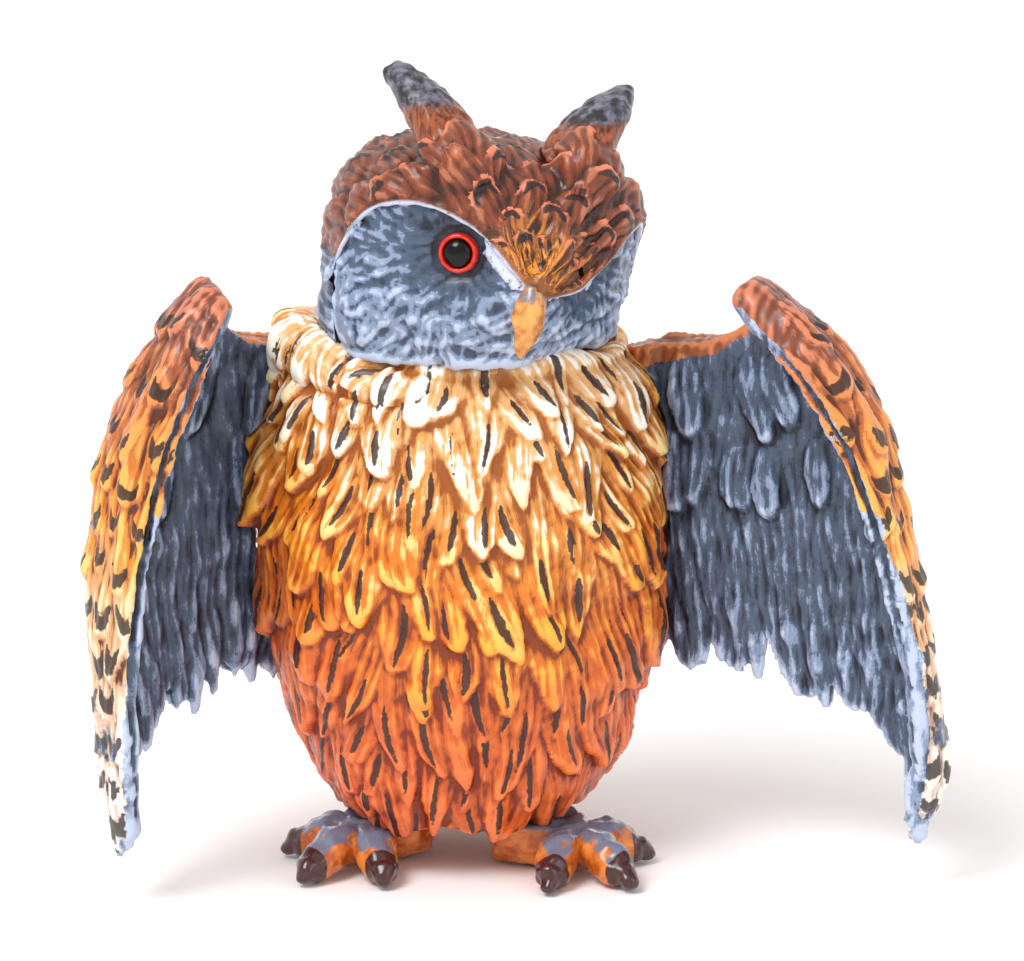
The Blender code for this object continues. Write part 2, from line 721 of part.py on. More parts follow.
def tail_point(across, down):
    """Point of the tail's middle surface: across from -1 to 1, down from 0 to 1."""
    start = torso_point(180, TAIL_TOP).y + TAIL_STAND
    y = start + (TAIL_REACH - start) * down**TAIL_SWEEP - TAIL_HOLLOW * across * across
    half = TAIL_HALF_WIDTH * (TAIL_TOP_SHARE + (1 - TAIL_TOP_SHARE) * down)
    end = TAIL_END + TAIL_NOTCH * math.cos(math.pi * TAIL_FEATHERS * (across + 1) / 2) ** 2
    return Vector((half * across, y, TAIL_TOP + (end + TAIL_ROUND * abs(across) - TAIL_TOP) * down))


def tail():
    columns, rows = 24, 4
    points = []
    for face in (-1, 1):
        for i in range(columns + 1):
            for j in range(rows + 1):
                thick = TAIL_THICK * (1 - TAIL_THIN * j / rows)
                points.append(tail_point(2 * i / columns - 1, j / rows) + Vector((0, face * thick / 2, 0)))
    count = (columns + 1) * (rows + 1)

    def at(i, j, face):
        return face * count + i * (rows + 1) + j

    faces = []
    for i in range(columns):
        for j in range(rows):
            for face in (0, 1):
                faces.append((at(i, j, face), at(i + 1, j, face), at(i + 1, j + 1, face), at(i, j + 1, face)))
        for j in (0, rows):
            faces.append((at(i, j, 0), at(i + 1, j, 0), at(i + 1, j, 1), at(i, j, 1)))
    for j in range(rows):
        for i in (0, columns):
            faces.append((at(i, j, 0), at(i, j + 1, 0), at(i, j + 1, 1), at(i, j, 1)))
    base, axis = tail_screw_place()
    solid = new_piece("tail", points, faces)
    return cut(solid, torso_cutter("torso_seat"), screw_hole(base, axis, TAIL_SCREW_LENGTH))


def tail_screw_place():
    return torso_point(180, TAIL_SCREW_HEIGHT), Vector((0, 1, 0))


# ---------------------------------------------------------------- feet


def foot(leg, middle, side, label):
    """One foot casting: a stout leg, three toes ahead and one behind, each with its claw, on a flat sole."""
    top = TORSO_FLOOR - GAP
    hub = Vector((*middle, TOE_HEIGHT + 0.8))
    solid = tube(label + "_foot", ((*leg, top + 2), (leg[0], leg[1], top - 1.5), hub),
                 (LEG_RADIUS, LEG_RADIUS, TOE_RADIUS * 1.5), 18)  # fmt: skip
    for dx, dy in TOES:
        tip = hub + Vector((dx * side, dy, 0))
        tip.z = TOE_HEIGHT
        knuckle = hub.lerp(tip, 0.62) + Vector((0, 0, 1.5))
        way = Vector((tip.x - hub.x, tip.y - hub.y, 0)).normalized()
        join(
            solid,
            tube("toe", (hub, hub.lerp(knuckle, 0.5), knuckle, tip),
                 (TOE_RADIUS * 1.15, TOE_RADIUS, TOE_RADIUS * 1.06, TOE_RADIUS * 0.9)),
            tube("claw", (tip + way * 1.2, tip + way * (CLAW_LENGTH * 0.6) + Vector((0, 0, 0.1)),
                          tip + way * CLAW_LENGTH - Vector((0, 0, 1.2))),
                 (CLAW_RADIUS, CLAW_RADIUS * 0.95, CLAW_RADIUS * 0.55), 8),
        )  # fmt: skip
    far = 200
    combine(solid, block("slab", (-far, -far, 0), (far, far, top)), "INTERSECT")
    return cut(
        solid,
        rod("stud_hole", (*leg, top - LEG_STUD_DEPTH - GAP), UP, LEG_STUD_RADIUS + HOLE_PLAY, far),
    )


# ---------------------------------------------------------------- fasteners


def hex_nut(name, middle, base_height, stud_radius):
    thick = stud_radius * NUT_THICK_RATIO
    nut = rod(name, (middle.x, middle.y, base_height), UP, stud_radius * NUT_RATIO, thick, 6)
    return cut(nut, rod("bore", (middle.x, middle.y, base_height - 1), UP,
                        stud_radius + HOLE_PLAY / 2, thick + 2))  # fmt: skip


def neck_fasteners():
    axis = neck_axis()
    ceiling = TORSO_NECK - WALL
    washer_base = ceiling - GAP - WASHER_THICK
    washer = rod("neck_washer", axis + Vector((0, 0, washer_base)), UP, WASHER_RADIUS, WASHER_THICK)
    cut(washer, rod("bore", axis + Vector((0, 0, washer_base - 1)), UP,
                    NECK_STUD_RADIUS + HOLE_PLAY / 2, WASHER_THICK + 2))  # fmt: skip
    nut_base = washer_base - GAP - NECK_STUD_RADIUS * NUT_THICK_RATIO
    hex_nut("neck_nut", axis, nut_base, NECK_STUD_RADIUS)
    rod("neck_stud", axis + Vector((0, 0, nut_base - 2)), UP, NECK_STUD_RADIUS, NECK_STUD_LENGTH)


def leg_fasteners(leg, label):
    axis = Vector((*leg, 0))
    hex_nut(label + "_leg_nut", axis, TORSO_FLOOR + WALL + GAP, LEG_STUD_RADIUS)
    base = TORSO_FLOOR - GAP - LEG_STUD_DEPTH
    rod(label + "_leg_stud", axis + Vector((0, 0, base)), UP, LEG_STUD_RADIUS, LEG_STUD_LENGTH)


def screw(name, base, axis, length):
    """A pan-head screw whose head is inside the torso and whose shank points out of it."""
    head = WALL + GAP + SCREW_HEAD_THICK
    start = base - axis * head
    profile = (
        (0.0, SCREW_HEAD_RADIUS * 0.7),
        (SCREW_HEAD_THICK * 0.6, SCREW_HEAD_RADIUS),
        (SCREW_HEAD_THICK, SCREW_HEAD_RADIUS),
        (SCREW_HEAD_THICK + 0.01, SCREW_RADIUS),
        (head + length - 1.0, SCREW_RADIUS),
        (head + length, SCREW_RADIUS * 0.4),
    )
    return turned(name, profile, start, axis)


def body_fasteners():
    for k, (base, axis) in enumerate(wing_screw_places()):
        label = "left" if base.x > 0 else "right"
        level = "lower" if k % 2 == 0 else "upper"
        screw(f"{label}_wing_screw_{level}", base, axis, SCREW_LENGTH - 0.5)
    base, axis = tail_screw_place()
    screw("tail_screw", base, axis, TAIL_SCREW_LENGTH - 0.5)


def tuft_pin(side, label):
    base, axis = tuft_pin_place(side)
    return rod(label + "_tuft_pin", base + axis * GAP, axis, TUFT_PIN_RADIUS, TUFT_PIN_LENGTH - GAP)


# ---------------------------------------------------------------- paint

PAINTS = {
    "ochre": ((0.80, 0.36, 0.06), 0.45, 0.0),
    "russet": ((0.30, 0.10, 0.05), 0.45, 0.0),
    "slate": ((0.16, 0.22, 0.30), 0.45, 0.0),
    "horn": ((0.62, 0.36, 0.09), 0.40, 0.0),
    "red": ((0.60, 0.03, 0.01), 0.25, 0.0),
    "glass": ((0.01, 0.01, 0.01), 0.05, 0.0),
    "brass": ((0.60, 0.44, 0.18), 0.35, 1.0),
}
PAINT_OF = {
    "breast_shell": "ochre", "back_shell": "russet", "crown_shell": "russet", "face_mask": "slate",
    "beak": "horn", "wing": "slate", "tail": "russet", "foot": "ochre", "ear_tuft": "russet",
    "iris_ring": "red", "eye_glass": "glass",
}  # fmt: skip


def paint(piece):
    """Gives a piece its paint, or bare brass if it is a fastener."""
    found = [p for ending, p in PAINT_OF.items() if piece.name.endswith(ending)]
    label = found[0] if found else "brass"
    material = bpy.data.materials.get(label) or bpy.data.materials.new(label)
    material.use_nodes = True
    colour, rough, metal = PAINTS[label]
    shader = material.node_tree.nodes["Principled BSDF"]
    shader.inputs["Base Color"].default_value = (*colour, 1)
    shader.inputs["Roughness"].default_value = rough
    shader.inputs["Metallic"].default_value = metal
    piece.data.materials.clear()
    piece.data.materials.append(material)


def place_on_origin(pieces):
    """Parents the pieces to an empty and moves it so that the middle of the underside is the origin."""
    corners = [piece.matrix_world @ v.co for piece in pieces for v in piece.data.vertices]
    low = [min(c[i] for c in corners) for i in range(3)]
    high = [max(c[i] for c in corners) for i in range(3)]
    owl = bpy.data.objects.new("owl_figurine", None)
    bpy.context.scene.collection.objects.link(owl)
    for piece in pieces:
        piece.parent = owl
    owl.location = (-(low[0] + high[0]) / 2, -(low[1] + high[1]) / 2, -low[2])
    bpy.context.view_layer.update()


def main():
    for old in list(bpy.data.objects):
        bpy.data.objects.remove(old)
    torso_shells()
    crown_shell()
    face_mask()
    beak()
    tail()
    for side, label, stations, leg, middle in (
        (1, "left", LEFT_WING_STATIONS, LEFT_LEG, LEFT_FOOT),
        (-1, "right", RIGHT_WING_STATIONS, RIGHT_LEG, RIGHT_FOOT),
    ):
        eye_pieces(side, label)
        ear_tuft(side, label)
        tuft_pin(side, label)
        wing(side, label, stations)
        foot(leg, middle, side, label)
        leg_fasteners(leg, label)
    neck_fasteners()
    body_fasteners()
    pieces = [o for o in bpy.data.objects if o.type == "MESH"]
    for piece in pieces:
        paint(piece)
        piece.data.shade_smooth()
        piece.data.set_sharp_from_angle(angle=math.radians(35))
    place_on_origin(pieces)


main()
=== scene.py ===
"""Looks of the owl figurine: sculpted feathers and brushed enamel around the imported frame.

The object faces -Y and its left side is at +X. Lengths are in millimetres until a mesh is written.
"""

import math

import bmesh
import bpy
import numpy as np
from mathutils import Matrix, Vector
from mathutils.bvhtree import BVHTree
from mathutils.kdtree import KDTree


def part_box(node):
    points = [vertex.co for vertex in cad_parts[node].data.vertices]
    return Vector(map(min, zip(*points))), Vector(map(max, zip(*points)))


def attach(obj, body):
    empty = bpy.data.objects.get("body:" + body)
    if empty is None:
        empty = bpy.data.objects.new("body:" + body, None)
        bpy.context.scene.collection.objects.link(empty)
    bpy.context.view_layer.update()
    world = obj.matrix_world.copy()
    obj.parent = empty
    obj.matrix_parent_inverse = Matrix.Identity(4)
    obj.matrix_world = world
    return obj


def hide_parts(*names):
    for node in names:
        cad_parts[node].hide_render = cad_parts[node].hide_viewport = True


MM = 0.001
SEED = 23
WAVE_COUNT = 14
LEAF_ROOT = 0.42  # how fast a feather widens from its root: a power of the share of its length

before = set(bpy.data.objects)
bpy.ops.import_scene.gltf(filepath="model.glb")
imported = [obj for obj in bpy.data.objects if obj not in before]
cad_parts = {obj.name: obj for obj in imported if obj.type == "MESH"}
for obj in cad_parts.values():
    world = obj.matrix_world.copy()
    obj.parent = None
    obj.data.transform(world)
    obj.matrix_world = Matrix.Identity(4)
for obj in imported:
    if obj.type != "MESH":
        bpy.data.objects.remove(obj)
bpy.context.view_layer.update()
CHANCE = np.random.default_rng(SEED)

# ---------------------------------------------------------------- sizes

VOXEL = 0.42  # spacing of the sculpted meshes
DOWN = Vector((0, 0, -1))

# Torso: the feathers hang from the neck in staggered rows
TORSO_AXIS = Vector((-8.5, 2.4, 0))
SEAM_Y, SEAM_GAP = 10.4, 0.15  # the casting seam, and how far each half stays off it
ROW_TOP, ROW_END = 80.6, 6.0
BREAST_SINK = 1.1
BREAST_PAINT_TOP, WING_PAINT_TOP = 86.0, 93.0  # heights at which the colours of the breast and wings end
CREAM_X = -4.0  # middle of the cream bib
# Large feathers of the flanks: angle from the front, height, length, width, lift, turn outward
FLANK_FEATHERS = (
    (-72, 62, 20, 8.5, 4.2, 0.5), (-80, 44, 19, 9.0, 3.6, 0.3), (-66, 30, 18, 8.5, 3.4, 0.2),
    (74, 70, 16, 7.5, 3.6, 0.4), (70, 52, 18, 8.5, 3.6, 0.4), (78, 38, 18, 8.0, 3.6, 0.3),
    (62, 24, 17, 8.0, 3.0, 0.2), (-50, 20, 16, 8.0, 2.8, 0.1), (-30, 50, 18, 7.5, 3.2, 0.2),
    (28, 46, 19, 8.0, 3.2, 0.2), (8, 60, 18, 7.0, 3.0, 0.0), (-12, 38, 19, 7.5, 3.0, 0.0),
)  # fmt: skip
# The fluffed neck feathers on its right side: angle from the breast, reach past the collar, height, radius
RUFF = (
    (-150, -1.0, 77.5, 2.6), (-130, -0.8, 79.0, 3.4), (-110, -0.5, 80.2, 4.0),
    (-90, 0.0, 80.8, 4.4), (-72, 0.8, 80.4, 4.5), (-55, 1.6, 79.4, 4.4),
    (-40, 2.2, 78.2, 4.0), (-25, 2.4, 76.8, 3.4), (-12, 2.0, 75.6, 2.6),
)  # fmt: skip
COLLAR_Z, COLLAR_RADIUS = 78.6, 2.6

# Head
HEAD_MIDDLE = Vector((-6.1, -2.3, 94.8))
BROW_LINE = (
    (0, -2.8), (9, 2.2), (22, 7.6), (42, 11.0), (57, 10.0), (68, 7.0), (78, 1.8), (86, -5.0),
)  # fmt: skip
BROW_RADIUS = 1.5
BROW_STAND = 1.6  # of each brow past the face
# Angle from straight ahead, then the level of each brow's lower edge: the left one is drawn down over its eye
BROWS = {
    -1: ((0, -3.4), (9, 1.0), (22, 5.8), (42, 8.4), (57, 7.6), (68, 5.0), (78, 0.0), (86, -6.0)),
    1: ((0, -3.4), (9, -3.0), (22, -1.6), (35, 1.4), (50, 6.0), (62, 7.0), (72, 4.0), (80, 0.0), (86, -6.0)),
}
FACE_LINE = ((0, 23.0), (10, 21.5), (27, 20.0), (45, 20.4), (60, 21.2), (84, 21.4))
CROWN_ROWS = (16, 25, 35, 46, 59, 74, 90, 106, 122, 138, 154, 165, 174)  # angles of the rows from the beak
MASK_RINGS = (6.5, 10.5, 14.5, 18.5)  # distances of the mask's feathers from each eye
EYE_STAND = {"left": -1.4, "right": 0.7}  # how far each eye stands out of its socket

# Wings, as their castings are drawn: height, then the places of the bend and of the front rim
WING_ORIGIN = Vector((-8.485, 2.408, 0))
WING_ROOT = Vector((14.0, 9.0))
WING_CAMBER = 3.0
LEFT_WING_STATIONS = (
    (6.0, 67.0, -17.0, 66.0, -19.0),
    (20.0, 69.8, -18.0, 67.8, -22.0),
    (36.0, 68.0, -18.0, 66.0, -24.5),
    (52.0, 65.0, -17.5, 61.6, -26.5),
    (67.0, 62.3, -16.5, 56.6, -27.5),
    (78.0, 58.0, -14.5, 50.5, -25.5),
    (86.0, 52.0, -12.0, 41.5, -22.0),
    (93.0, 41.5, -9.0, 37.5, -14.0),
)
RIGHT_WING_STATIONS = (
    (11.0, 49.0, -24.0, 48.0, -27.0),
    (26.0, 51.8, -22.0, 47.8, -29.0),
    (41.0, 53.0, -20.0, 47.0, -29.5),
    (56.0, 52.8, -18.0, 44.6, -30.0),
    (69.0, 50.4, -15.0, 41.5, -29.0),
    (81.0, 44.6, -13.0, 36.5, -27.0),
    (92.0, 37.0, -9.0, 31.0, -20.0),
)
# Share of the way from the root to the rim, then the height of the wing's top edge
WING_TOP = (
    (0.0, 75.5), (0.14, 77.0), (0.28, 79.5), (0.45, 81.0),
    (0.60, 85.5), (0.75, 90.5), (0.86, 92.0), (1.0, 89.5),
)  # fmt: skip
# Height, then the radius of the rolled rim, and where its middle lies
WING_ROLL = ((8, 0.8), (40, 1.3), (62, 1.9), (78, 2.9), (86, 3.7), (90, 3.2), (92, 1.8))
ROLL_SHARE = ((40.0, 0.975), (66.0, 0.93))
WING_TIP_RISE = 1.8
WING_TIP_RADII = (1.3, 1.6, 1.8, 1.85, 1.7, 1.35, 0.9, 0.4)
WING_TIPS = (
    (0.06, 41.0), (0.19, 36.0), (0.30, 28.5), (0.40, 29.5), (0.54, 26.0),
    (0.635, 25.5), (0.72, 19.5), (0.785, 14.5), (0.87, 6.0), (0.97, 9.0),
)  # fmt: skip

# Feet: middle of each, and each toe's tip from it
FEET = {"left": (8.1, -5.1, 1), "right": (-23.1, -2.6, -1)}
TOES = ((-2.6, -10.8), (7.0, -9.8), (8.6, 1.4), (-3.5, 10.0))

# Studio, in metres: the camera, and each soft light's place, size and power
LENS, SENSOR = 152.0, 36.0  # in millimetres
TARGET, DISTANCE, CAMERA_RISE = Vector((-0.00067, 0, 0.059)), 0.65, 13
SOFTBOXES = {"key": ((-0.40, -0.50, 0.80), 0.30, 1.6), "fill": ((0.65, -0.45, 0.45), 0.4, 0.6)}
SKYLIGHT_PLACE, SKYLIGHT_POWER, SKYLIGHT_ANGLE = (-0.5, -0.55, 1.0), 1.7, 34
WORLD_LIGHT = 0.80
FLOOR_RADIUS, FLOOR_RISE = 1.5, 0.9


def srgb(red, green, blue):
    """Linear colour from 0-255 display values."""
    parts = [c / 255 for c in (red, green, blue)]
    return tuple(c / 12.92 if c < 0.04045 else ((c + 0.055) / 1.055) ** 2.4 for c in parts) + (1.0,)


# ---------------------------------------------------------------- curves and small meshes


def curve_at(stations, at, column=1):
    """Value of a smooth curve through the stations, which are sorted on their first number."""
    xs = [s[0] for s in stations]
    ys = [s[column] for s in stations]
    at = min(max(at, xs[0]), xs[-1])
    i = max(k for k in range(len(xs) - 1) if xs[k] <= at)
    span = xs[i + 1] - xs[i]

    def slope(k):
        a, b = max(k - 1, 0), min(k + 1, len(xs) - 1)
        return (ys[b] - ys[a]) / (xs[b] - xs[a])

    t = (at - xs[i]) / span
    rise = ys[i + 1] - ys[i]
    m0, m1 = slope(i) * span, slope(i + 1) * span
    return ys[i] + t * m0 + t * t * (3 * rise - 2 * m0 - m1) + t**3 * (m0 + m1 - 2 * rise)


def linear_at(stations, at):
    return float(np.interp(at, [s[0] for s in stations], [s[1] for s in stations]))


def bridge(bm, rings):
    """Faces between each ring of points and the next."""
    for a, b in zip(rings, rings[1:]):
        for k in range(len(a)):
            after = (k + 1) % len(a)
            bm.faces.new((a[k], a[after], b[after], b[k]))


def make_object(name, bm):
    """An object of the scene from the bmesh, which is freed."""
    mesh = bpy.data.meshes.new(name)
    bm.to_mesh(mesh)
    bm.free()
    mesh.shade_smooth()
    obj = bpy.data.objects.new(name, mesh)
    bpy.context.scene.collection.objects.link(obj)
    return obj


def set_attributes(mesh, marks):
    for name, values in marks.items():
        mesh.attributes.new(name, "FLOAT", "POINT").data.foreach_set("value", values.astype(np.float32))


def add_tube(bm, path, radii, sides=12, facing=(0.3, 0.2, 1)):
    """A closed tube along a path of points, whose rings start from the facing way."""
    rings = []
    count = len(path)
    turns = [2 * math.pi * k / sides for k in range(sides)]
    for i, (point, radius) in enumerate(zip(path, radii)):
        way = (path[min(i + 1, count - 1)] - path[max(i - 1, 0)]).normalized()
        side = way.cross(Vector(facing)).normalized()
        up = side.cross(way).normalized()
        ring = [point + side * math.cos(a) * radius + up * math.sin(a) * radius for a in turns]
        rings.append([bm.verts.new(p) for p in ring])
    bridge(bm, rings)
    bm.faces.new(rings[0][::-1])
    bm.faces.new(rings[-1])


def waves(points, size, salt):
    """Smooth seeded unevenness between about -1 and 1, with lumps about size across."""
    draw = np.random.default_rng(SEED + salt)
    ways = draw.normal(size=(WAVE_COUNT, 3))
    ways *= (2 * math.pi / size / np.linalg.norm(ways, axis=1) * draw.uniform(0.6, 1.3, WAVE_COUNT))[:, None]
    phases = draw.uniform(0, 2 * math.pi, WAVE_COUNT)
    return np.sin(points @ ways.T + phases).sum(1) / math.sqrt(WAVE_COUNT / 2) * 0.6


# ---------------------------------------------------------------- feathers


class Feather:
    """A leaf-shaped scale: its middle, the way it points, its sizes, and the kind of mark painted on it."""

    def __init__(self, point, normal, way, length, width, lift, mark, curl=0.0, groove=0.16, sharp=0.52):
        self.point = np.array(point)
        self.normal = np.array(normal)
        way = np.array(way) - np.dot(way, normal) * self.normal
        self.way = way / np.linalg.norm(way)
        self.side = np.cross(self.normal, self.way)
        self.length, self.width, self.lift = length, width, lift
        self.mark, self.curl, self.groove, self.sharp = mark, curl, groove, sharp
        self.chance = CHANCE.random()


def leaf(along, sharp):
    """Half width of a feather, as a share, from its root at 0 to its tip at 1."""
    a = np.clip(along, 1e-4, 1 - 1e-4)
    widest = LEAF_ROOT / (LEAF_ROOT + sharp)
    return (a / widest) ** LEAF_ROOT * ((1 - a) / (1 - widest)) ** sharp


BAR_PITCH, BAR_WIDE = 5.4, 0.85  # spacing of the tail's bars, and half the width of one


def stroke_distance(feather, along, across):
    """Distance to a tapered dark stroke down the middle, negative inside it."""
    start = 0.32 + 0.18 * feather.chance
    end = 0.80 + 0.12 * ((feather.chance * 7) % 1)
    middle, half = (start + end) / 2, (end - start) / 2
    line = across - (feather.chance - 0.5) * 0.9 - feather.curl * 3 * (along - 0.6) ** 2
    q = (along - middle) / half
    taper = np.sqrt(np.clip(1 - q * q, 0, 1))
    wide = 0.40 + 0.22 * ((feather.chance * 13) % 1)
    return np.abs(line) - wide * taper + np.clip(np.abs(q) - 1, 0, None) * half * feather.length


def crescent_distance(feather, along, across):
    """Distance to a dark crescent just inside the tip, negative inside it."""
    x = (along - 0.55) / 0.45
    y = across / (feather.width / 2)
    q = np.hypot(x, y)
    front = np.where(q > 1e-6, x / np.maximum(q, 1e-6), 0)
    wide = 0.48 * np.clip((front - 0.3) / 0.5, 0, 1) ** 0.5
    return np.abs(q - 0.58) * feather.width / 2 - wide + np.clip(0.3 - front, 0, 1) * 2


def bar_distance(feather, along, across):
    """Distance to the nearest of the dark bars across a long feather, negative inside it."""
    run = (along * feather.length + 1.6 * feather.chance - 0.10 * across**2) % BAR_PITCH
    fade = np.clip((0.18 - along) * 20, 0, 3)
    return np.abs(run - BAR_PITCH / 2) - BAR_WIDE + fade


UNMARKED = 3.0  # distance to a mark where there is none
MARKS = {"stroke": stroke_distance, "crescent": crescent_distance, "bar": bar_distance}


# ---------------------------------------------------------------- sculpts


class Sculpt:
    """A dense closed mesh, whose points are moved and marked as whole arrays, in millimetres."""

    def __init__(self, name, nodes, voxel=VOXEL, hull=False, extra=None, smooth=10):
        bm = bmesh.new()
        for node in nodes:
            bm.from_mesh(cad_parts[node].data)
        if hull:
            points = [v.co.copy() for v in bm.verts]
            bm.free()
            bm = bmesh.new()
            for p in points:
                bm.verts.new(p)
            made = bmesh.ops.convex_hull(bm, input=bm.verts)
            spare = made["geom_interior"] + made["geom_unused"]
            spare = {v for v in spare if isinstance(v, bmesh.types.BMVert)}
            bmesh.ops.delete(bm, geom=list(spare), context="VERTS")
        bmesh.ops.scale(bm, vec=(1 / MM,) * 3, verts=bm.verts)
        if extra:
            extra(bm)
        self.obj = make_object(name, bm)
        self.remesh(voxel)
        self.even(smooth)

    def remesh(self, voxel):
        modifier = self.obj.modifiers.new("remesh", "REMESH")
        modifier.mode = "VOXEL"
        modifier.voxel_size = voxel
        graph = bpy.context.evaluated_depsgraph_get()
        mesh = bpy.data.meshes.new_from_object(self.obj.evaluated_get(graph))
        self.obj.modifiers.clear()
        self.obj.data = mesh
        self.read()

    def read(self):
        mesh = self.obj.data
        self.count = len(mesh.vertices)
        flat = np.empty(self.count * 3)
        mesh.vertices.foreach_get("co", flat)
        self.points = flat.reshape(-1, 3)
        ends = np.empty(len(mesh.edges) * 2, np.int32)
        mesh.edges.foreach_get("vertices", ends)
        self.ends = ends.reshape(-1, 2)
        self.degree = np.maximum(np.bincount(ends, minlength=self.count), 1)
        self.marks = {}

    def mean(self, values):
        """Each point's average of its neighbours' values."""
        a, b = self.ends.T
        columns = values.reshape(self.count, -1).T
        total = [np.bincount(a, c[b], self.count) + np.bincount(b, c[a], self.count) for c in columns]
        return (np.stack(total, 1) / self.degree[:, None]).reshape(values.shape)

    def soften(self, values, times, share=0.5):
        for _ in range(times):
            values = values + share * (self.mean(values) - values)
        return values

    def even(self, times):
        """Smooths the points and keeps the volume."""
        for _ in range(times):
            self.points = self.soften(self.points, 1, 0.5)
            self.points = self.soften(self.points, 1, -0.53)
        self.write()

    def write(self):
        mesh = self.obj.data
        mesh.vertices.foreach_set("co", self.points.ravel())
        mesh.update()
        flat = np.empty(self.count * 3)
        mesh.vertex_normals.foreach_get("vector", flat)
        self.normals = flat.reshape(-1, 3)

    def skin(self):
        faces = [tuple(p.vertices) for p in self.obj.data.polygons]
        return BVHTree.FromPolygons([tuple(p) for p in self.points], faces)

    def push(self, amount):
        """Moves each point along its normal."""
        self.points = self.points + self.normals * amount[:, None]
        self.write()

    def cover(self, feathers, sink=0.0, where=None, warp=0.0, warp_size=9.0):
        """Raises the feathers from the surface and records where each point lies on its feather."""
        n = self.count
        height = np.zeros(n)
        along, across, chance = np.zeros(n), np.zeros(n), np.zeros(n)
        mark, edge = np.full(n, UNMARKED), np.zeros(n)
        allowed = np.ones(n, bool) if where is None else where
        bent = self.points + warp * np.stack([waves(self.points, warp_size, 40 + k) for k in range(3)], 1)
        for feather in feathers:
            reach = 0.6 * feather.length + 0.3 * feather.width
            offset = bent - feather.point
            near = np.flatnonzero((np.abs(offset) < reach).all(1) & allowed)
            near = near[self.normals[near] @ feather.normal > 0.15]
            if not len(near):
                continue
            d = offset[near]
            a = d @ feather.way / feather.length + 0.5
            b = d @ feather.side
            b = b - feather.curl * (a - 0.3) ** 2 * 4
            half = leaf(a, feather.sharp) * feather.width / 2
            keep = (a > 0) & (a < 1) & (np.abs(b) < half) & (np.abs(d @ feather.normal) < 6)
            near, a, b, half = near[keep], a[keep], b[keep], half[keep]
            dome = np.sqrt(np.clip(1 - (b / half) ** 2, 0, 1)) ** 0.8
            tip = np.clip((1 - a) * feather.length / 1.5, 0, 1) ** 0.6
            rise = feather.lift * (0.12 + 0.88 * a**0.9) * (0.35 + 0.65 * dome)
            rise = rise * tip * np.clip(dome * 3, 0, 1)
            rise = rise + feather.groove * np.cos(2 * math.pi * (b / 1.55 + feather.chance)) * dome * tip
            higher = rise > height[near]
            near, a, b, half, rise = near[higher], a[higher], b[higher], half[higher], rise[higher]
            height[near] = rise
            along[near], across[near], chance[near] = a, b, feather.chance
            edge[near] = np.minimum(half - np.abs(b), (1 - a) * feather.length)
            mark[near] = MARKS[feather.mark](feather, a, b) if feather.mark in MARKS else UNMARKED
        self.marks.update(along=along, across=across, chance=chance, mark=mark, edge=edge)
        self.push(self.soften(height, 1) - sink)

    def shade_marks(self):
        """Marks hollows and ridges at two scales, for the brushed highlights; the enamels also use them as
        painted shade in the hollows and painted highlight on the ridges.
        """
        for name, times, height in (("fine", 6, 0.12), ("broad", 40, 0.55)):
            offset = self.points - self.soften(self.points, times)
            self.marks[name] = np.clip((offset * self.normals).sum(1) / height, -1.5, 1.5)

    def finish(self, material, slot, *replaced):
        self.points = self.points * MM
        self.write()
        set_attributes(self.obj.data, self.marks)
        self.obj.data.shade_smooth()
        place(self.obj, material, slot, *replaced)


def place(obj, material, slot, *replaced):
    obj.data.materials.clear()
    obj.data.materials.append(material)
    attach(obj, "root")
    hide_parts(*replaced)


# ---------------------------------------------------------------- enamel

SHINE, COAT_ROUGHNESS = 0.35, 0.15
STREAK_ACROSS, STREAK_ALONG = 0.55, 0.35  # width of a brush streak, and its length as a share of a feather's


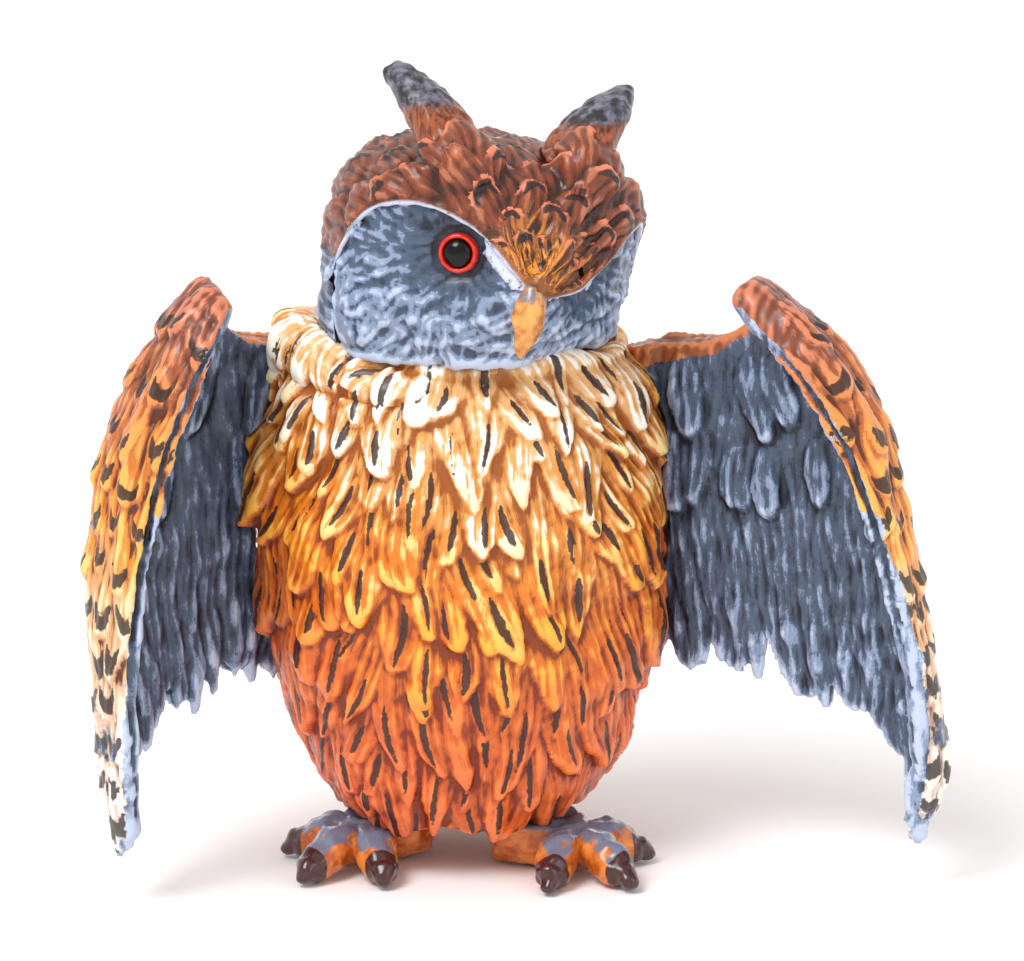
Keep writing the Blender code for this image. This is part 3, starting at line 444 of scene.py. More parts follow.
class Enamel:
    """A node material, built with short calls that return sockets."""

    def __init__(self, name, roughness=0.32, coat=0.15):
        self.material = bpy.data.materials.new(name)
        self.material.use_nodes = True
        self.tree = self.material.node_tree
        self.shader = self.tree.nodes["Principled BSDF"]
        self.shader.inputs["Roughness"].default_value = roughness
        self.shader.inputs["Specular IOR Level"].default_value = SHINE
        self.shader.inputs["Coat Weight"].default_value = coat
        self.shader.inputs["Coat Roughness"].default_value = COAT_ROUGHNESS
        self.place = self.put("ShaderNodeTexCoord").outputs["Object"]
        self.axes = self.put("ShaderNodeSeparateXYZ", {0: self.place}).outputs

    def put(self, kind, inputs=None, **settings):
        node = self.tree.nodes.new(kind)
        for key, value in settings.items():
            setattr(node, key, value)
        for key, value in (inputs or {}).items():
            if isinstance(value, bpy.types.NodeSocket):
                self.tree.links.new(value, node.inputs[key])
            else:
                node.inputs[key].default_value = value
        return node

    def field(self, name):
        return self.put("ShaderNodeAttribute", attribute_name=name).outputs["Fac"]

    def math(self, kind, a, b=0.0, c=0.0):
        return self.put("ShaderNodeMath", {0: a, 1: b, 2: c}, operation=kind).outputs[0]

    def add(self, a, b):
        return self.math("ADD", a, b)

    def times(self, a, b):
        return self.math("MULTIPLY", a, b)

    def swing(self, value, size=1.0):
        """A value from 0 to 1, made to swing round 0 by half the size each way."""
        return self.times(self.math("SUBTRACT", value, 0.5), size)

    def level(self, top):
        """Height as a share of the top, given in millimetres."""
        return self.math("DIVIDE", self.axes[2], top * MM)

    def gloss(self, low, high):
        """Roughness that wanders between two values over the surface."""
        return self.span(self.noise(2.5), 0.3, 0.7, low, high)

    def stretched(self, across, upright):
        """Places scaled to draw a noise out along the vertical."""
        inputs = {"Vector": self.place, "Scale": (across, across, upright)}
        return self.put("ShaderNodeMapping", inputs).outputs[0]

    def span(self, value, low, high, start=0.0, end=1.0):
        """Smooth step of value between low and high."""
        inputs = {0: value, 1: low, 2: high, 3: start, 4: end}
        return self.put("ShaderNodeMapRange", inputs, interpolation_type="SMOOTHSTEP").outputs[0]

    def vector(self, x, y, z):
        return self.put("ShaderNodeCombineXYZ", {0: x, 1: y, 2: z}).outputs[0]

    def noise(self, size, detail=4.0, rough=0.55, at=None, twist=0.0):
        """Noise with lumps about size millimetres across, or in units of the given vector."""
        scale = 1 / (size * MM) if at is None else 1 / size
        inputs = {"Vector": at or self.place, "Scale": scale, "Detail": detail}
        inputs.update({"Roughness": rough, "Distortion": twist})
        return self.put("ShaderNodeTexNoise", inputs).outputs[0]

    def ramp(self, at, *stops):
        """Colours at the stops, each a position with its red, green and blue."""
        node = self.put("ShaderNodeValToRGB", {0: at})
        band = node.color_ramp.elements
        while len(band) < len(stops):
            band.new(0.5)
        for element, (where, *colour) in zip(band, stops):
            element.position = where
            element.color = srgb(*colour)
        return node.outputs[0]

    def mix(self, share, a, b):
        return self.put("ShaderNodeMix", {0: share, 6: a, 7: b}, data_type="RGBA").outputs[2]

    def blend(self, value, low, high, a, b):
        """From one colour to another as the value goes from low to high."""
        return self.mix(self.span(value, low, high), a, b)

    def done(self, colour, height=None, bump=0.3, depth=0.1, roughness=None):
        self.tree.links.new(colour, self.shader.inputs["Base Color"])
        if height is not None:
            inputs = {"Strength": bump, "Distance": depth * MM, "Height": height}
            self.tree.links.new(self.put("ShaderNodeBump", inputs).outputs[0], self.shader.inputs["Normal"])
        if roughness is not None:
            self.tree.links.new(roughness, self.shader.inputs["Roughness"])
        return self.material

    def streak(self):
        """Noise drawn out along each feather."""
        at = self.vector(
            self.math("DIVIDE", self.field("across"), STREAK_ACROSS),
            self.math("DIVIDE", self.field("along"), STREAK_ALONG),
            self.times(self.field("chance"), 57.0),
        )
        return self.noise(1.0, 4.0, 0.6, at)

    def dark_mark(self):
        """1 inside the painted marks, with a brushed edge."""
        wander = self.swing(self.noise(0.9), 0.7)
        return self.span(self.add(self.field("mark"), wander), MARK_EDGE, -MARK_EDGE)


INK = srgb(50, 26, 24)
MARK_EDGE = 0.09  # half the width over which a painted mark's edge fades


def relief(paint, streak, fine=0.16, broad=0.40, streaks=0.95, base=0.42):
    """0 in the crevices to 1 on the ridges, broken up by brush streaks; its low end colours crevices as
    painted shade and its high end colours ridges as painted highlight, on top of the dry-brushed paint.
    """
    a = paint.times(paint.field("fine"), fine)
    b = paint.times(paint.field("broad"), broad)
    c = paint.swing(streak, streaks)
    return paint.add(paint.add(a, b), paint.add(c, base))


def breast_enamel():
    """Cream at the neck, golden in the middle and terracotta at the legs, dark in the crevices: dry-brushed
    paint, partly painted shade in the crevices and painted highlight on the ridges.
    """
    paint = Enamel("breast enamel")
    streak = paint.streak()
    uneven = paint.add(paint.swing(paint.noise(9.0, 2.0), 0.2), paint.swing(paint.field("chance"), 0.12))
    level = paint.add(paint.level(BREAST_PAINT_TOP), uneven)
    level = paint.math("SUBTRACT", level, paint.field("flank"))
    light = paint.ramp(
        level,
        (0.10, 236, 116, 66),
        (0.34, 244, 136, 56),
        (0.50, 252, 182, 62),
        (0.64, 255, 222, 148),
        (0.75, 255, 248, 234),
    )
    body = paint.ramp(
        level,
        (0.10, 204, 86, 38),
        (0.35, 216, 102, 32),
        (0.55, 218, 118, 26),
        (0.72, 224, 146, 62),
        (0.85, 232, 176, 112),
    )
    crevice_base_and_shade = paint.ramp(
        level,
        (0.10, 130, 38, 12),
        (0.45, 134, 50, 8),
        (0.75, 156, 80, 20),
        (0.90, 174, 102, 42),
    )
    rise = relief(paint, streak)
    # crevices take the dark base colour, partly as painted shade; ridges take the light colour, partly as
    # painted highlight
    colour = paint.blend(rise, 0.10, 0.44, crevice_base_and_shade, body)
    colour = paint.blend(rise, 0.48, 0.74, colour, light)
    colour = paint.mix(paint.times(paint.dark_mark(), 0.94), colour, INK)
    height = paint.add(paint.times(streak, 0.8), paint.noise(0.7, 3.0))
    return paint.done(colour, height, 0.25, 0.08, paint.gloss(0.24, 0.42))


def russet_enamel():
    """Red-brown with salmon tips and dark crescents, golden toward the beak, slate on the cheeks."""
    paint = Enamel("russet enamel")
    streak = paint.streak()
    rise = relief(paint, streak)
    # dark brown in the crevices, partly painted shade; salmon-brown on the ridges, partly painted highlight
    colour = paint.blend(rise, 0.12, 0.60, srgb(56, 24, 14), srgb(124, 60, 36))
    colour = paint.blend(rise, 0.60, 0.95, colour, srgb(178, 106, 74))
    golden = paint.times(paint.field("golden"), paint.span(streak, 0.46, 0.60))
    colour = paint.mix(golden, colour, srgb(228, 144, 48))
    tip = paint.span(paint.field("edge"), 1.25, 0.75)
    tip = paint.times(tip, paint.span(paint.field("along"), 0.62, 0.75))
    tip = paint.times(tip, paint.span(paint.add(streak, paint.field("chance")), 0.5, 0.8))
    colour = paint.mix(paint.times(tip, paint.field("tipped")), colour, srgb(232, 128, 94))
    colour = paint.mix(paint.times(paint.dark_mark(), 0.92), colour, srgb(36, 26, 28))
    cheek = paint.add(paint.field("cheek"), paint.swing(paint.noise(1.8, 4.0)))
    colour = paint.blend(cheek, 0.40, 0.60, colour, slate_colour(paint, streak, 0.05))
    pale = paint.times(paint.field("pale"), paint.span(paint.noise(1.1, 5.0, 0.65), 0.30, 0.45))
    colour = paint.mix(pale, colour, srgb(206, 214, 232))
    height = paint.add(paint.times(streak, 0.8), paint.noise(0.7, 3.0))
    return paint.done(colour, height, 0.22, 0.07, paint.gloss(0.26, 0.44))


def slate_colour(paint, streak, more=0.0, broad=0.25):
    """Blue-grey with a pale brushed film on the raised places, darker in the hollows; the film partly stands
    in as painted highlight and the dark hollows as painted shade.
    """
    blotch = paint.times(paint.noise(4.2, 9.0, 0.76, twist=1.6), 0.95)
    rise = paint.add(paint.add(relief(paint, streak, 0.20, broad, 0.40, 0.02), blotch), more)
    colour = paint.blend(rise, 0.10, 0.55, srgb(26, 31, 43), srgb(74, 88, 110))
    colour = paint.blend(rise, 0.60, 0.74, colour, srgb(134, 150, 178))
    return paint.blend(rise, 0.82, 1.02, colour, srgb(190, 202, 226))


def mask_enamel():
    """Slate with a dry-brushed film that is thin round the eyes."""
    paint = Enamel("mask enamel")
    streak = paint.streak()
    colour = slate_colour(paint, streak, paint.math("SUBTRACT", paint.field("dry"), 0.04), 0.10)
    height = paint.add(paint.noise(1.2, 5.0, 0.6), streak)
    return paint.done(colour, height, 0.25, 0.08, paint.gloss(0.28, 0.46))


def wing_enamel():
    """Slate on the inner face; brown, golden and cream with dark marks on the outer face."""
    paint = Enamel("wing enamel")
    streak = paint.streak()
    grain = paint.swing(paint.noise(1.0, 9.0, 0.82, paint.stretched(560.0, 100.0)), 1.7)
    # the pale mark lightens the slate along the rolled rim as brushed paint and darkens it near the root as
    # painted shade
    inner = slate_colour(paint, streak, paint.add(grain, paint.times(paint.field("pale"), 0.5)))
    level = paint.add(paint.level(WING_PAINT_TOP), paint.swing(paint.noise(6.0, 3.0), 0.22))
    level = paint.add(level, paint.field("tone"))
    light = paint.ramp(
        level,
        (0.20, 250, 236, 222),
        (0.46, 252, 224, 190),
        (0.60, 255, 192, 90),
        (0.78, 236, 150, 72),
        (0.92, 206, 122, 88),
    )
    body = paint.ramp(
        level,
        (0.20, 214, 190, 176),
        (0.45, 226, 168, 112),
        (0.62, 222, 130, 42),
        (0.80, 174, 92, 46),
        (0.92, 120, 62, 42),
    )
    rise = relief(paint, streak)
    # dark brown in the crevices, partly painted shade; light colour on the ridges, partly painted highlight
    outer = paint.blend(rise, 0.10, 0.40, srgb(92, 44, 26), body)
    outer = paint.blend(rise, 0.46, 0.74, outer, light)
    outer = paint.mix(paint.times(paint.dark_mark(), 0.93), outer, srgb(34, 24, 26))
    side = paint.add(paint.field("outer"), paint.swing(paint.noise(1.6, 4.0)))
    colour = paint.blend(side, 0.35, 0.60, inner, outer)
    height = paint.add(paint.noise(1.0, 4.0, 0.6), streak)
    return paint.done(colour, height, 0.25, 0.08, paint.gloss(0.28, 0.46))


def foot_enamel():
    """Ochre with glossy grey tops and dark claws."""
    paint = Enamel("foot enamel", coat=0.5)
    lumps = paint.noise(2.6, 4.0, 0.6)
    colour = paint.blend(lumps, 0.35, 0.65, srgb(170, 76, 16), srgb(222, 128, 50))
    grey = paint.add(paint.field("top"), paint.swing(paint.noise(3.4, 3.0)))
    colour = paint.blend(grey, 0.50, 0.66, colour, srgb(110, 116, 136))
    colour = paint.blend(paint.field("claw"), 0.35, 0.60, colour, srgb(66, 32, 30))
    return paint.done(colour, paint.noise(1.0, 4.0), 0.3, 0.15, paint.span(lumps, 0.3, 0.7, 0.18, 0.34))


def tuft_enamel():
    """Brown with a dark grey tip."""
    paint = Enamel("tuft enamel")
    streak = paint.noise(0.9, 4.0, 0.6, paint.stretched(1000.0, 200.0))
    brown = paint.blend(streak, 0.35, 0.60, srgb(78, 34, 18), srgb(156, 84, 50))
    grey = paint.blend(paint.noise(2.0), 0.40, 0.65, srgb(40, 38, 44), srgb(116, 114, 130))
    dark = paint.add(paint.field("tip"), paint.swing(streak, 0.35))
    colour = paint.blend(dark, 0.50, 0.60, brown, grey)
    return paint.done(colour, streak, 0.35, 0.15, paint.gloss(0.26, 0.42))


def beak_enamel():
    """Clouded horn with a grey root."""
    paint = Enamel("beak enamel", coat=0.5)
    cloud = paint.noise(2.4, 4.0)
    colour = paint.blend(cloud, 0.35, 0.65, srgb(176, 104, 40), srgb(236, 164, 84))
    grey = paint.add(paint.field("top"), paint.swing(paint.noise(1.4)))
    colour = paint.blend(grey, 0.60, 0.80, colour, srgb(120, 116, 124))
    return paint.done(colour, cloud, 0.3, 0.2, paint.span(cloud, 0.3, 0.7, 0.18, 0.30))


def iris_enamel():
    paint = Enamel("iris enamel", roughness=0.2, coat=0.6)
    colour = paint.blend(paint.noise(0.8), 0.3, 0.7, srgb(196, 22, 6), srgb(238, 52, 24))
    return paint.done(colour, paint.noise(0.9), 0.15, 0.05)


def glass():
    paint = Enamel("black glass", roughness=0.06, coat=0.0)
    paint.shader.inputs["Specular IOR Level"].default_value = 0.3
    return paint.done(paint.mix(paint.noise(1.5), srgb(4, 3, 4), srgb(12, 8, 8)))


def brass():
    paint = Enamel("brass", coat=0.0)
    paint.shader.inputs["Metallic"].default_value = 1.0
    worn = paint.noise(1.2, 5.0, 0.6)
    colour = paint.blend(worn, 0.35, 0.7, srgb(176, 132, 62), srgb(226, 190, 116))
    return paint.done(colour, worn, 0.15, 0.05, paint.span(worn, 0.3, 0.7, 0.22, 0.45))


# ---------------------------------------------------------------- torso


def torso_feathers(skin):
    """Staggered rows of feathers from the neck to the legs, smaller at the neck."""

    def surface(angle, height):
        out = Vector((math.sin(angle), -math.cos(angle), 0))
        hit = skin.ray_cast(TORSO_AXIS + Vector((0, 0, height)) + out * 60, -out)
        return hit[0], hit[1]

    def sideways(angle):
        return Vector((math.cos(angle), math.sin(angle), 0))

    feathers = []
    height, row = ROW_TOP, 0
    while height > ROW_END:
        share = (ROW_TOP - height) / (ROW_TOP - ROW_END)
        width = 5.6 + 2.0 * math.sin(math.pi * min(1, share * 1.25)) + 0.8 * share
        length = 13.5 + 6.5 * share
        level = min(max(height, 7.8), 79.6)
        front, _ = surface(0, level)
        flank, _ = surface(math.pi / 2, level)
        around = math.pi * (abs(front.y - TORSO_AXIS.y) + abs(flank.x - TORSO_AXIS.x))
        count = max(8, round(around / (width * 0.86)))
        for k in range(count):
            angle = 2 * math.pi * (k + 0.5 * (row % 2) + CHANCE.uniform(-0.3, 0.3)) / count
            z = min(max(level + CHANCE.uniform(-2.4, 2.4), 7.6), 80.4)
            point, normal = surface(angle, z)
            below, _ = surface(angle, max(z - 3, 7.4))
            if point is None or below is None:
                continue
            down = (below - point).normalized() if z > 11 else DOWN
            spread = 0.42 * math.sin(angle) * (1 if math.cos(angle) > 0 else 0.4)
            way = down + sideways(angle) * (spread + CHANCE.uniform(-0.24, 0.24))
            feathers.append(
                Feather(
                    point, normal, way, length * CHANCE.uniform(0.85, 1.25), width * CHANCE.uniform(0.8, 1.2),
                    (2.5 - 0.5 * share) * CHANCE.uniform(0.5, 1.4), "stroke", CHANCE.uniform(-1.2, 1.2),
                    CHANCE.uniform(0.06, 0.20), CHANCE.uniform(0.55, 1.05),
                )  # fmt: skip
            )
        height -= 5.0 + 1.3 * share
        row += 1
    for degrees in range(-144, -14, 5):
        for low, high in ((82.0, 84.8), (78.0, 82.0)):
            angle = math.radians(degrees + CHANCE.uniform(-3, 3))
            z, length = CHANCE.uniform(low, high), CHANCE.uniform(8.0, 17.0)
            point, normal = surface(angle, z)
            if point is None or point.z > 85.5 or point.xy.length < 12:
                continue
            way = DOWN + sideways(angle) * CHANCE.uniform(-0.8, -0.2)
            feathers.append(Feather(point, normal, way, length, 6.4, CHANCE.uniform(1.0, 2.4),
                                    "stroke", CHANCE.uniform(-0.8, 0.8), 0.14, 0.8))  # fmt: skip
    for degrees, z, length, width, lift, turn in FLANK_FEATHERS:
        angle = math.radians(degrees)
        point, normal = surface(angle, z)
        way = (surface(angle, z - 3)[0] - point).normalized() + sideways(angle) * math.copysign(turn, angle)
        feathers.append(Feather(point, normal, way, length, width, lift, "stroke", 0.3, 0.15, 0.8))
    return feathers


def torso():
    """The feathered torso, cut along its casting seam into the breast and the back."""
    shells = ("breast_shell", "back_shell")
    rims = [v.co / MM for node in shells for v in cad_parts[node].data.vertices]
    neck = [p for p in rims if p.z > 79.0]
    reach = [max(abs(p[i] - TORSO_AXIS[i]) for p in neck) - 1.6 for i in (0, 1)]

    def collar(bm):
        turns = [2 * math.pi * k / 48 for k in range(49)]
        path = [Vector((math.cos(a) * reach[0], math.sin(a) * reach[1], COLLAR_Z)) for a in turns]
        add_tube(bm, [TORSO_AXIS + p for p in path], [COLLAR_RADIUS] * len(path))
        path = []
        for degrees, out, height, _ in RUFF:
            a = math.radians(degrees)
            x, y = math.sin(a) * (reach[0] + out), -math.cos(a) * (reach[1] + out)
            path.append(TORSO_AXIS + Vector((x, y, height)))
        add_tube(bm, path, [radius for *_, radius in RUFF], sides=16)

    sculpt = Sculpt("torso", shells, hull=True, extra=collar)
    sculpt.push(0.7 * waves(sculpt.points, 15.0, 11) - 0.2)
    skin = sculpt.skin()
    feathers = torso_feathers(skin)
    for feather in feathers:
        if CHANCE.random() < 0.15:
            feather.mark = "none"
    sculpt.cover(feathers, BREAST_SINK, warp=0.55, warp_size=14.0)
    sculpt.push(0.22 * waves(sculpt.points, 4.5, 1) + 0.04 * waves(sculpt.points, 1.6, 12))
    sculpt.shade_marks()
    aside = (sculpt.points[:, 0] - CREAM_X) / 24
    behind = np.clip((sculpt.points[:, 1] - TORSO_AXIS.y + 8) / 20, 0, 1)
    sculpt.marks["flank"] = np.clip(0.11 * aside**2 + 0.55 * behind - 0.03, -0.03, 0.6)
    split_torso(sculpt)


def split_torso(sculpt):
    mesh = sculpt.obj.data
    set_attributes(mesh, sculpt.marks)
    material = breast_enamel()
    halves = (("breast", "breast_shell", "ochre_enamel", 1), ("back", "back_shell", "russet_enamel", -1))
    for name, node, slot, side in halves:
        bm = bmesh.new()
        bm.from_mesh(mesh)
        everything = bm.verts[:] + bm.edges[:] + bm.faces[:]
        plane = {"plane_co": (0, SEAM_Y - SEAM_GAP * side, 0), "plane_no": (0, side, 0)}
        cut = bmesh.ops.bisect_plane(bm, geom=everything, clear_outer=True, **plane)
        rim = [e for e in cut["geom_cut"] if isinstance(e, bmesh.types.BMEdge)]
        bmesh.ops.holes_fill(bm, edges=rim, sides=0)
        bmesh.ops.scale(bm, vec=(MM,) * 3, verts=bm.verts)
        place(make_object(name, bm), material, slot, node)
    bpy.data.objects.remove(sculpt.obj)


# ---------------------------------------------------------------- head


def node_middle(node):
    low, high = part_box(node)
    return (low + high) / 2 / MM


def head_axes():
    """The head's own left, ahead and up, from its two eyes."""
    left = (node_middle("left_iris_ring") - node_middle("right_iris_ring")).normalized()
    ahead = Vector((left.y, -left.x, 0)).normalized()
    return left, ahead, ahead.cross(left).normalized()


HEAD_LEFT, HEAD_AHEAD, HEAD_UP = head_axes()


def head_way(angle):
    """Level way out of the head at an angle from straight ahead, positive to its left."""
    return HEAD_AHEAD * math.cos(angle) + HEAD_LEFT * math.sin(angle)


def head_places(points):
    """Offset of each point from the head's middle, its level, its level way out, and its angle."""
    offset = points - np.array(HEAD_MIDDLE)
    level = offset @ np.array(HEAD_UP)
    angle = np.degrees(np.arctan2(offset @ np.array(HEAD_LEFT), offset @ np.array(HEAD_AHEAD)))
    return offset, level, offset - level[:, None] * np.array(HEAD_UP), angle


def brow_paths():
    """Ridges that fill each brow from the crown's edge down to its lower line."""
    paths = []
    for side, line in BROWS.items():
        for share in (0.0, 0.35, 0.7, 1.0):
            path = []
            for step in range(0, 88, 3):
                level = curve_at(line, step)
                level += share * max(0, curve_at(BROW_LINE, step) + 1.5 - level)
                radius = curve_at(FACE_LINE, step) + BROW_STAND + 0.9 * (side > 0) - 1.2 * share * (step > 12)
                path.append(HEAD_MIDDLE + head_way(math.radians(step) * side) * radius + HEAD_UP * level)
            paths.append(path)
    return paths


def crown_feathers(skin):
    """Scales that point away from the beak, over the forehead and down the nape."""
    pole = (HEAD_AHEAD * 22 - HEAD_UP * 3).normalized()
    over = (HEAD_UP - pole * HEAD_UP.dot(pole)).normalized()
    feathers = []
    for row, tilt in enumerate(CROWN_ROWS):
        tilt = math.radians(tilt)
        width = 4.4 + 4.0 * math.sin(tilt)
        count = max(6, round(2 * math.pi * 22 * math.sin(tilt) / (width * 0.92)))
        for k in range(count):
            turn = 2 * math.pi * (k + 0.5 * (row % 2) + CHANCE.uniform(-0.1, 0.1)) / count

            def way_at(tilt):
                around = over * math.cos(turn) + HEAD_LEFT * math.sin(turn)
                return (pole * math.cos(tilt) + around * math.sin(tilt)).normalized()

            out = way_at(tilt)
            hit = skin.ray_cast(HEAD_MIDDLE + out * 60, -out)
            if hit[0] is None or hit[3] > 52 or hit[0].z < 80.5:
                continue
            way = way_at(tilt + 0.1) - out
            length = (7.0 + 3.0 * math.sin(tilt)) * CHANCE.uniform(0.9, 1.12)
            wide = width * CHANCE.uniform(0.9, 1.1)
            lift = (0.6 + 0.9 * math.sin(tilt)) * CHANCE.uniform(0.8, 1.2)
            mark = "crescent" if CHANCE.random() < 0.8 else "none"
            feathers.append(Feather(hit[0], hit[1], way, length, wide, lift, mark, CHANCE.uniform(-0.3, 0.3)))
    return feathers


def tuft_ends(node):
    """Middle of a tuft's foot, and its tip."""
    points = sorted((v.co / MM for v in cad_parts[node].data.vertices), key=lambda p: p.z)
    count = len(points) // 5
    return sum(points[:count], Vector()) / count, points[-1]


def crown():
    def brows(bm):
        for path in brow_paths():
            count = len(path)
            swell = [math.sin(math.pi * (i + 1) / (count + 1)) for i in range(count)]
            add_tube(bm, path, [BROW_RADIUS * (0.6 + 0.4 * share) for share in swell])
        for side in ("left", "right"):
            foot, top = tuft_ends(f"{side}_ear_tuft")
            way = (top - foot).normalized()
            add_tube(bm, [foot + way * d for d in (-7, -4, -1.5, 1, 4)], [4.0, 6.0, 6.3, 5.4, 3.8], sides=24)

    sculpt = Sculpt("crown", ["crown_shell"], extra=brows, smooth=8)
    skin = sculpt.skin()
    offset, level, flat_way, angle = head_places(sculpt.points)
    lines = {side: [curve_at(line, a) for a in range(90)] for side, line in BROWS.items()}
    right, left = (np.interp(np.abs(angle), np.arange(90), lines[side]) for side in (-1, 1))
    brow = np.where(angle < 0, right, left)
    distance = np.linalg.norm(offset, axis=1)
    front = np.abs(angle) < 84
    above = level - brow
    under = ((np.abs(angle) < 72) & (level < brow - 1.5) & (level < 3)).astype(float)
    under = sculpt.soften(under, 6)
    low = np.clip((-level - 7) / 3, 0, 1)
    sculpt.points = sculpt.points - flat_way * ((0.15 + 0.17 * low) * under)[:, None]
    sculpt.write()
    sculpt.cover(crown_feathers(skin), 0.85, where=(~front) | (above > 0.8), warp=0.6, warp_size=7.0)
    sculpt.push(0.16 * waves(sculpt.points, 3.4, 2))
    sculpt.shade_marks()
    edge = front & (above < 1.6) & (above > -4) & (distance > 14)
    sculpt.marks["pale"] = np.where(edge, np.clip((0.3 - above) / 0.9, 0, 1), 0)
    side_line = np.where(np.abs(angle) < 80, brow - 1.5, -1.0)
    sculpt.marks["cheek"] = np.clip((132 - np.abs(angle)) / 16, 0, 1) * np.clip((side_line - level) / 2, 0, 1)
    sculpt.marks["golden"] = np.clip(1.2 - np.abs(angle) / 30 - np.clip(level - 3, 0, 99) / 7, 0, 1)
    sculpt.marks["tipped"] = np.clip(1.5 - np.abs(angle) / 60, 0.25, 1)
    sculpt.finish(russet_enamel(), "russet_enamel", "crown_shell")


def mask():
    sculpt = Sculpt("mask", ["face_mask"], hull=True, smooth=8)
    eyes = [node_middle(f"{side}_iris_ring") for side in ("right", "left")]
    near = np.min([np.linalg.norm(sculpt.points - np.array(eye), axis=1) for eye in eyes], axis=0)
    sculpt.push(1.2 - 1.5 * np.exp(-((near / 5.0) ** 2)))
    _, level, flat_way, angle = head_places(sculpt.points)
    tuck = 0.16 - 0.18 * np.clip((np.abs(angle) - 48) / 25, 0, 1)
    sculpt.points = sculpt.points - flat_way * (tuck * np.clip((-level - 3) / 10, 0, 1) ** 1.5)[:, None]
    sculpt.write()
    skin = sculpt.skin()
    feathers = []
    for eye in eyes:
        out = eye - HEAD_MIDDLE
        out = (out - HEAD_UP * out.dot(HEAD_UP)).normalized()
        across = HEAD_UP.cross(out).normalized()
        for ring, far in enumerate(MASK_RINGS):
            count = round(2 * math.pi * far / 4.6)
            for k in range(count):
                turn = 2 * math.pi * (k + 0.5 * (ring % 2)) / count
                way = across * math.cos(turn) + HEAD_UP * math.sin(turn)
                start = eye + way * (far + CHANCE.uniform(-0.8, 0.8)) + out * 12
                hit = skin.ray_cast(start, -out)
                if hit[0] is None or hit[3] > 30:
                    continue
                length, width = 8.5 * CHANCE.uniform(0.8, 1.2), 4.6 * CHANCE.uniform(0.7, 1.2)
                lift, curl = 0.55 * CHANCE.uniform(0.4, 1.3), CHANCE.uniform(-0.8, 0.8)
                feathers.append(Feather(hit[0], hit[1], way, length, width, lift, "none", curl))
    sculpt.cover(feathers, 0.25, where=near > 4.2, warp=0.7, warp_size=6.0)
    rough = 0.24 * waves(sculpt.points, 3.2, 3) + 0.05 * waves(sculpt.points, 1.3, 4)
    sculpt.push(rough * np.clip(near / 4 - 1, 0, 1))
    sculpt.shade_marks()
    level = head_places(sculpt.points)[1]
    dry = np.clip((near - 4.5) / 6, 0, 1) * 0.30 + np.clip(-level / 14, -0.6, 0.7) * 0.20 - 0.12
    sculpt.marks["dry"] = dry
    sculpt.finish(mask_enamel(), "slate_enamel", "face_mask")


def beak():
    sculpt = Sculpt("beak", ["beak"], voxel=0.25, smooth=12)
    low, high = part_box("beak")
    share = (sculpt.points[:, 2] - low.z / MM) / (high.z - low.z) * MM
    middle = (low + high) / 2 / MM
    wide = np.interp(share, (0, 0.15, 0.5, 0.75, 1.0), (0.8, 1.1, 1.25, 0.95, 0.45))
    sculpt.points[:, 0] = middle.x + (sculpt.points[:, 0] - middle.x) * wide + 1.2 * (share - 0.5)
    sculpt.points[:, 1] += 2.2 * np.clip(share - 0.6, 0, 1) ** 1.3
    sculpt.write()
    sculpt.marks["top"] = np.clip(share * 1.5 - 0.55, 0, 1)
    sculpt.finish(beak_enamel(), "horn_enamel", "beak")


def tufts():
    material = tuft_enamel()
    for side in ("left", "right"):
        node = f"{side}_ear_tuft"
        sculpt = Sculpt(f"{side}_tuft", [node], voxel=0.3, smooth=14)
        low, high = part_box(node)
        share = (sculpt.points[:, 2] * MM - low.z) / (high.z - low.z)
        rough = 0.14 * waves(sculpt.points * np.array((1, 1, 0.3)), 1.8, 5)
        sculpt.push(rough + 1.3 * np.clip(0.35 - share, 0, 1) ** 1.2 + 0.2)
        if side == "left":
            sculpt.points[:, 0] += 3.0 * share**1.5
            sculpt.points[:, 2] -= 1.0 * share
            sculpt.write()
        sculpt.marks["tip"] = share * 0.9
        sculpt.finish(material, "russet_enamel", node)


def node_axis(node):
    """A disc-shaped node's middle, and its axis pointing out of the head."""
    points = np.array([v.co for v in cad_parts[node].data.vertices]) / MM
    middle = (points.max(0) + points.min(0)) / 2
    spread = np.linalg.eigh(np.cov((points - points.mean(0)).T))[1]
    axis = Vector(spread[:, 0])
    out = Vector(middle) - HEAD_MIDDLE
    return Vector(middle), axis if axis.dot(out) > 0 else -axis


def eyes():
    red, black = iris_enamel(), glass()
    ring = ((2.1, -0.7), (2.1, 0.9), (2.2, 1.3), (2.5, 1.5), (2.8, 1.3), (2.98, 0.6), (2.95, -0.7))
    dome = [(0.9, -3.2), (0.9, -1.0), (1.9, -0.6), (2.12, 1.0)]
    dome += [(2.12 * math.cos(a), 1.0 + 1.3 * math.sin(a)) for a in (0.2, 0.5, 0.8, 1.1, 1.35)]
    for side in ("left", "right"):
        middle, axis = node_axis(f"{side}_iris_ring")
        middle = middle + axis * EYE_STAND[side]
        iris = turned_piece(f"{side}_iris", ring, middle, axis, closed=True)
        place(iris, red, "red_enamel", f"{side}_iris_ring")
        eye = turned_piece(f"{side}_eye", dome, middle, axis, closed=False)
        place(eye, black, "black_glass", f"{side}_eye_glass")


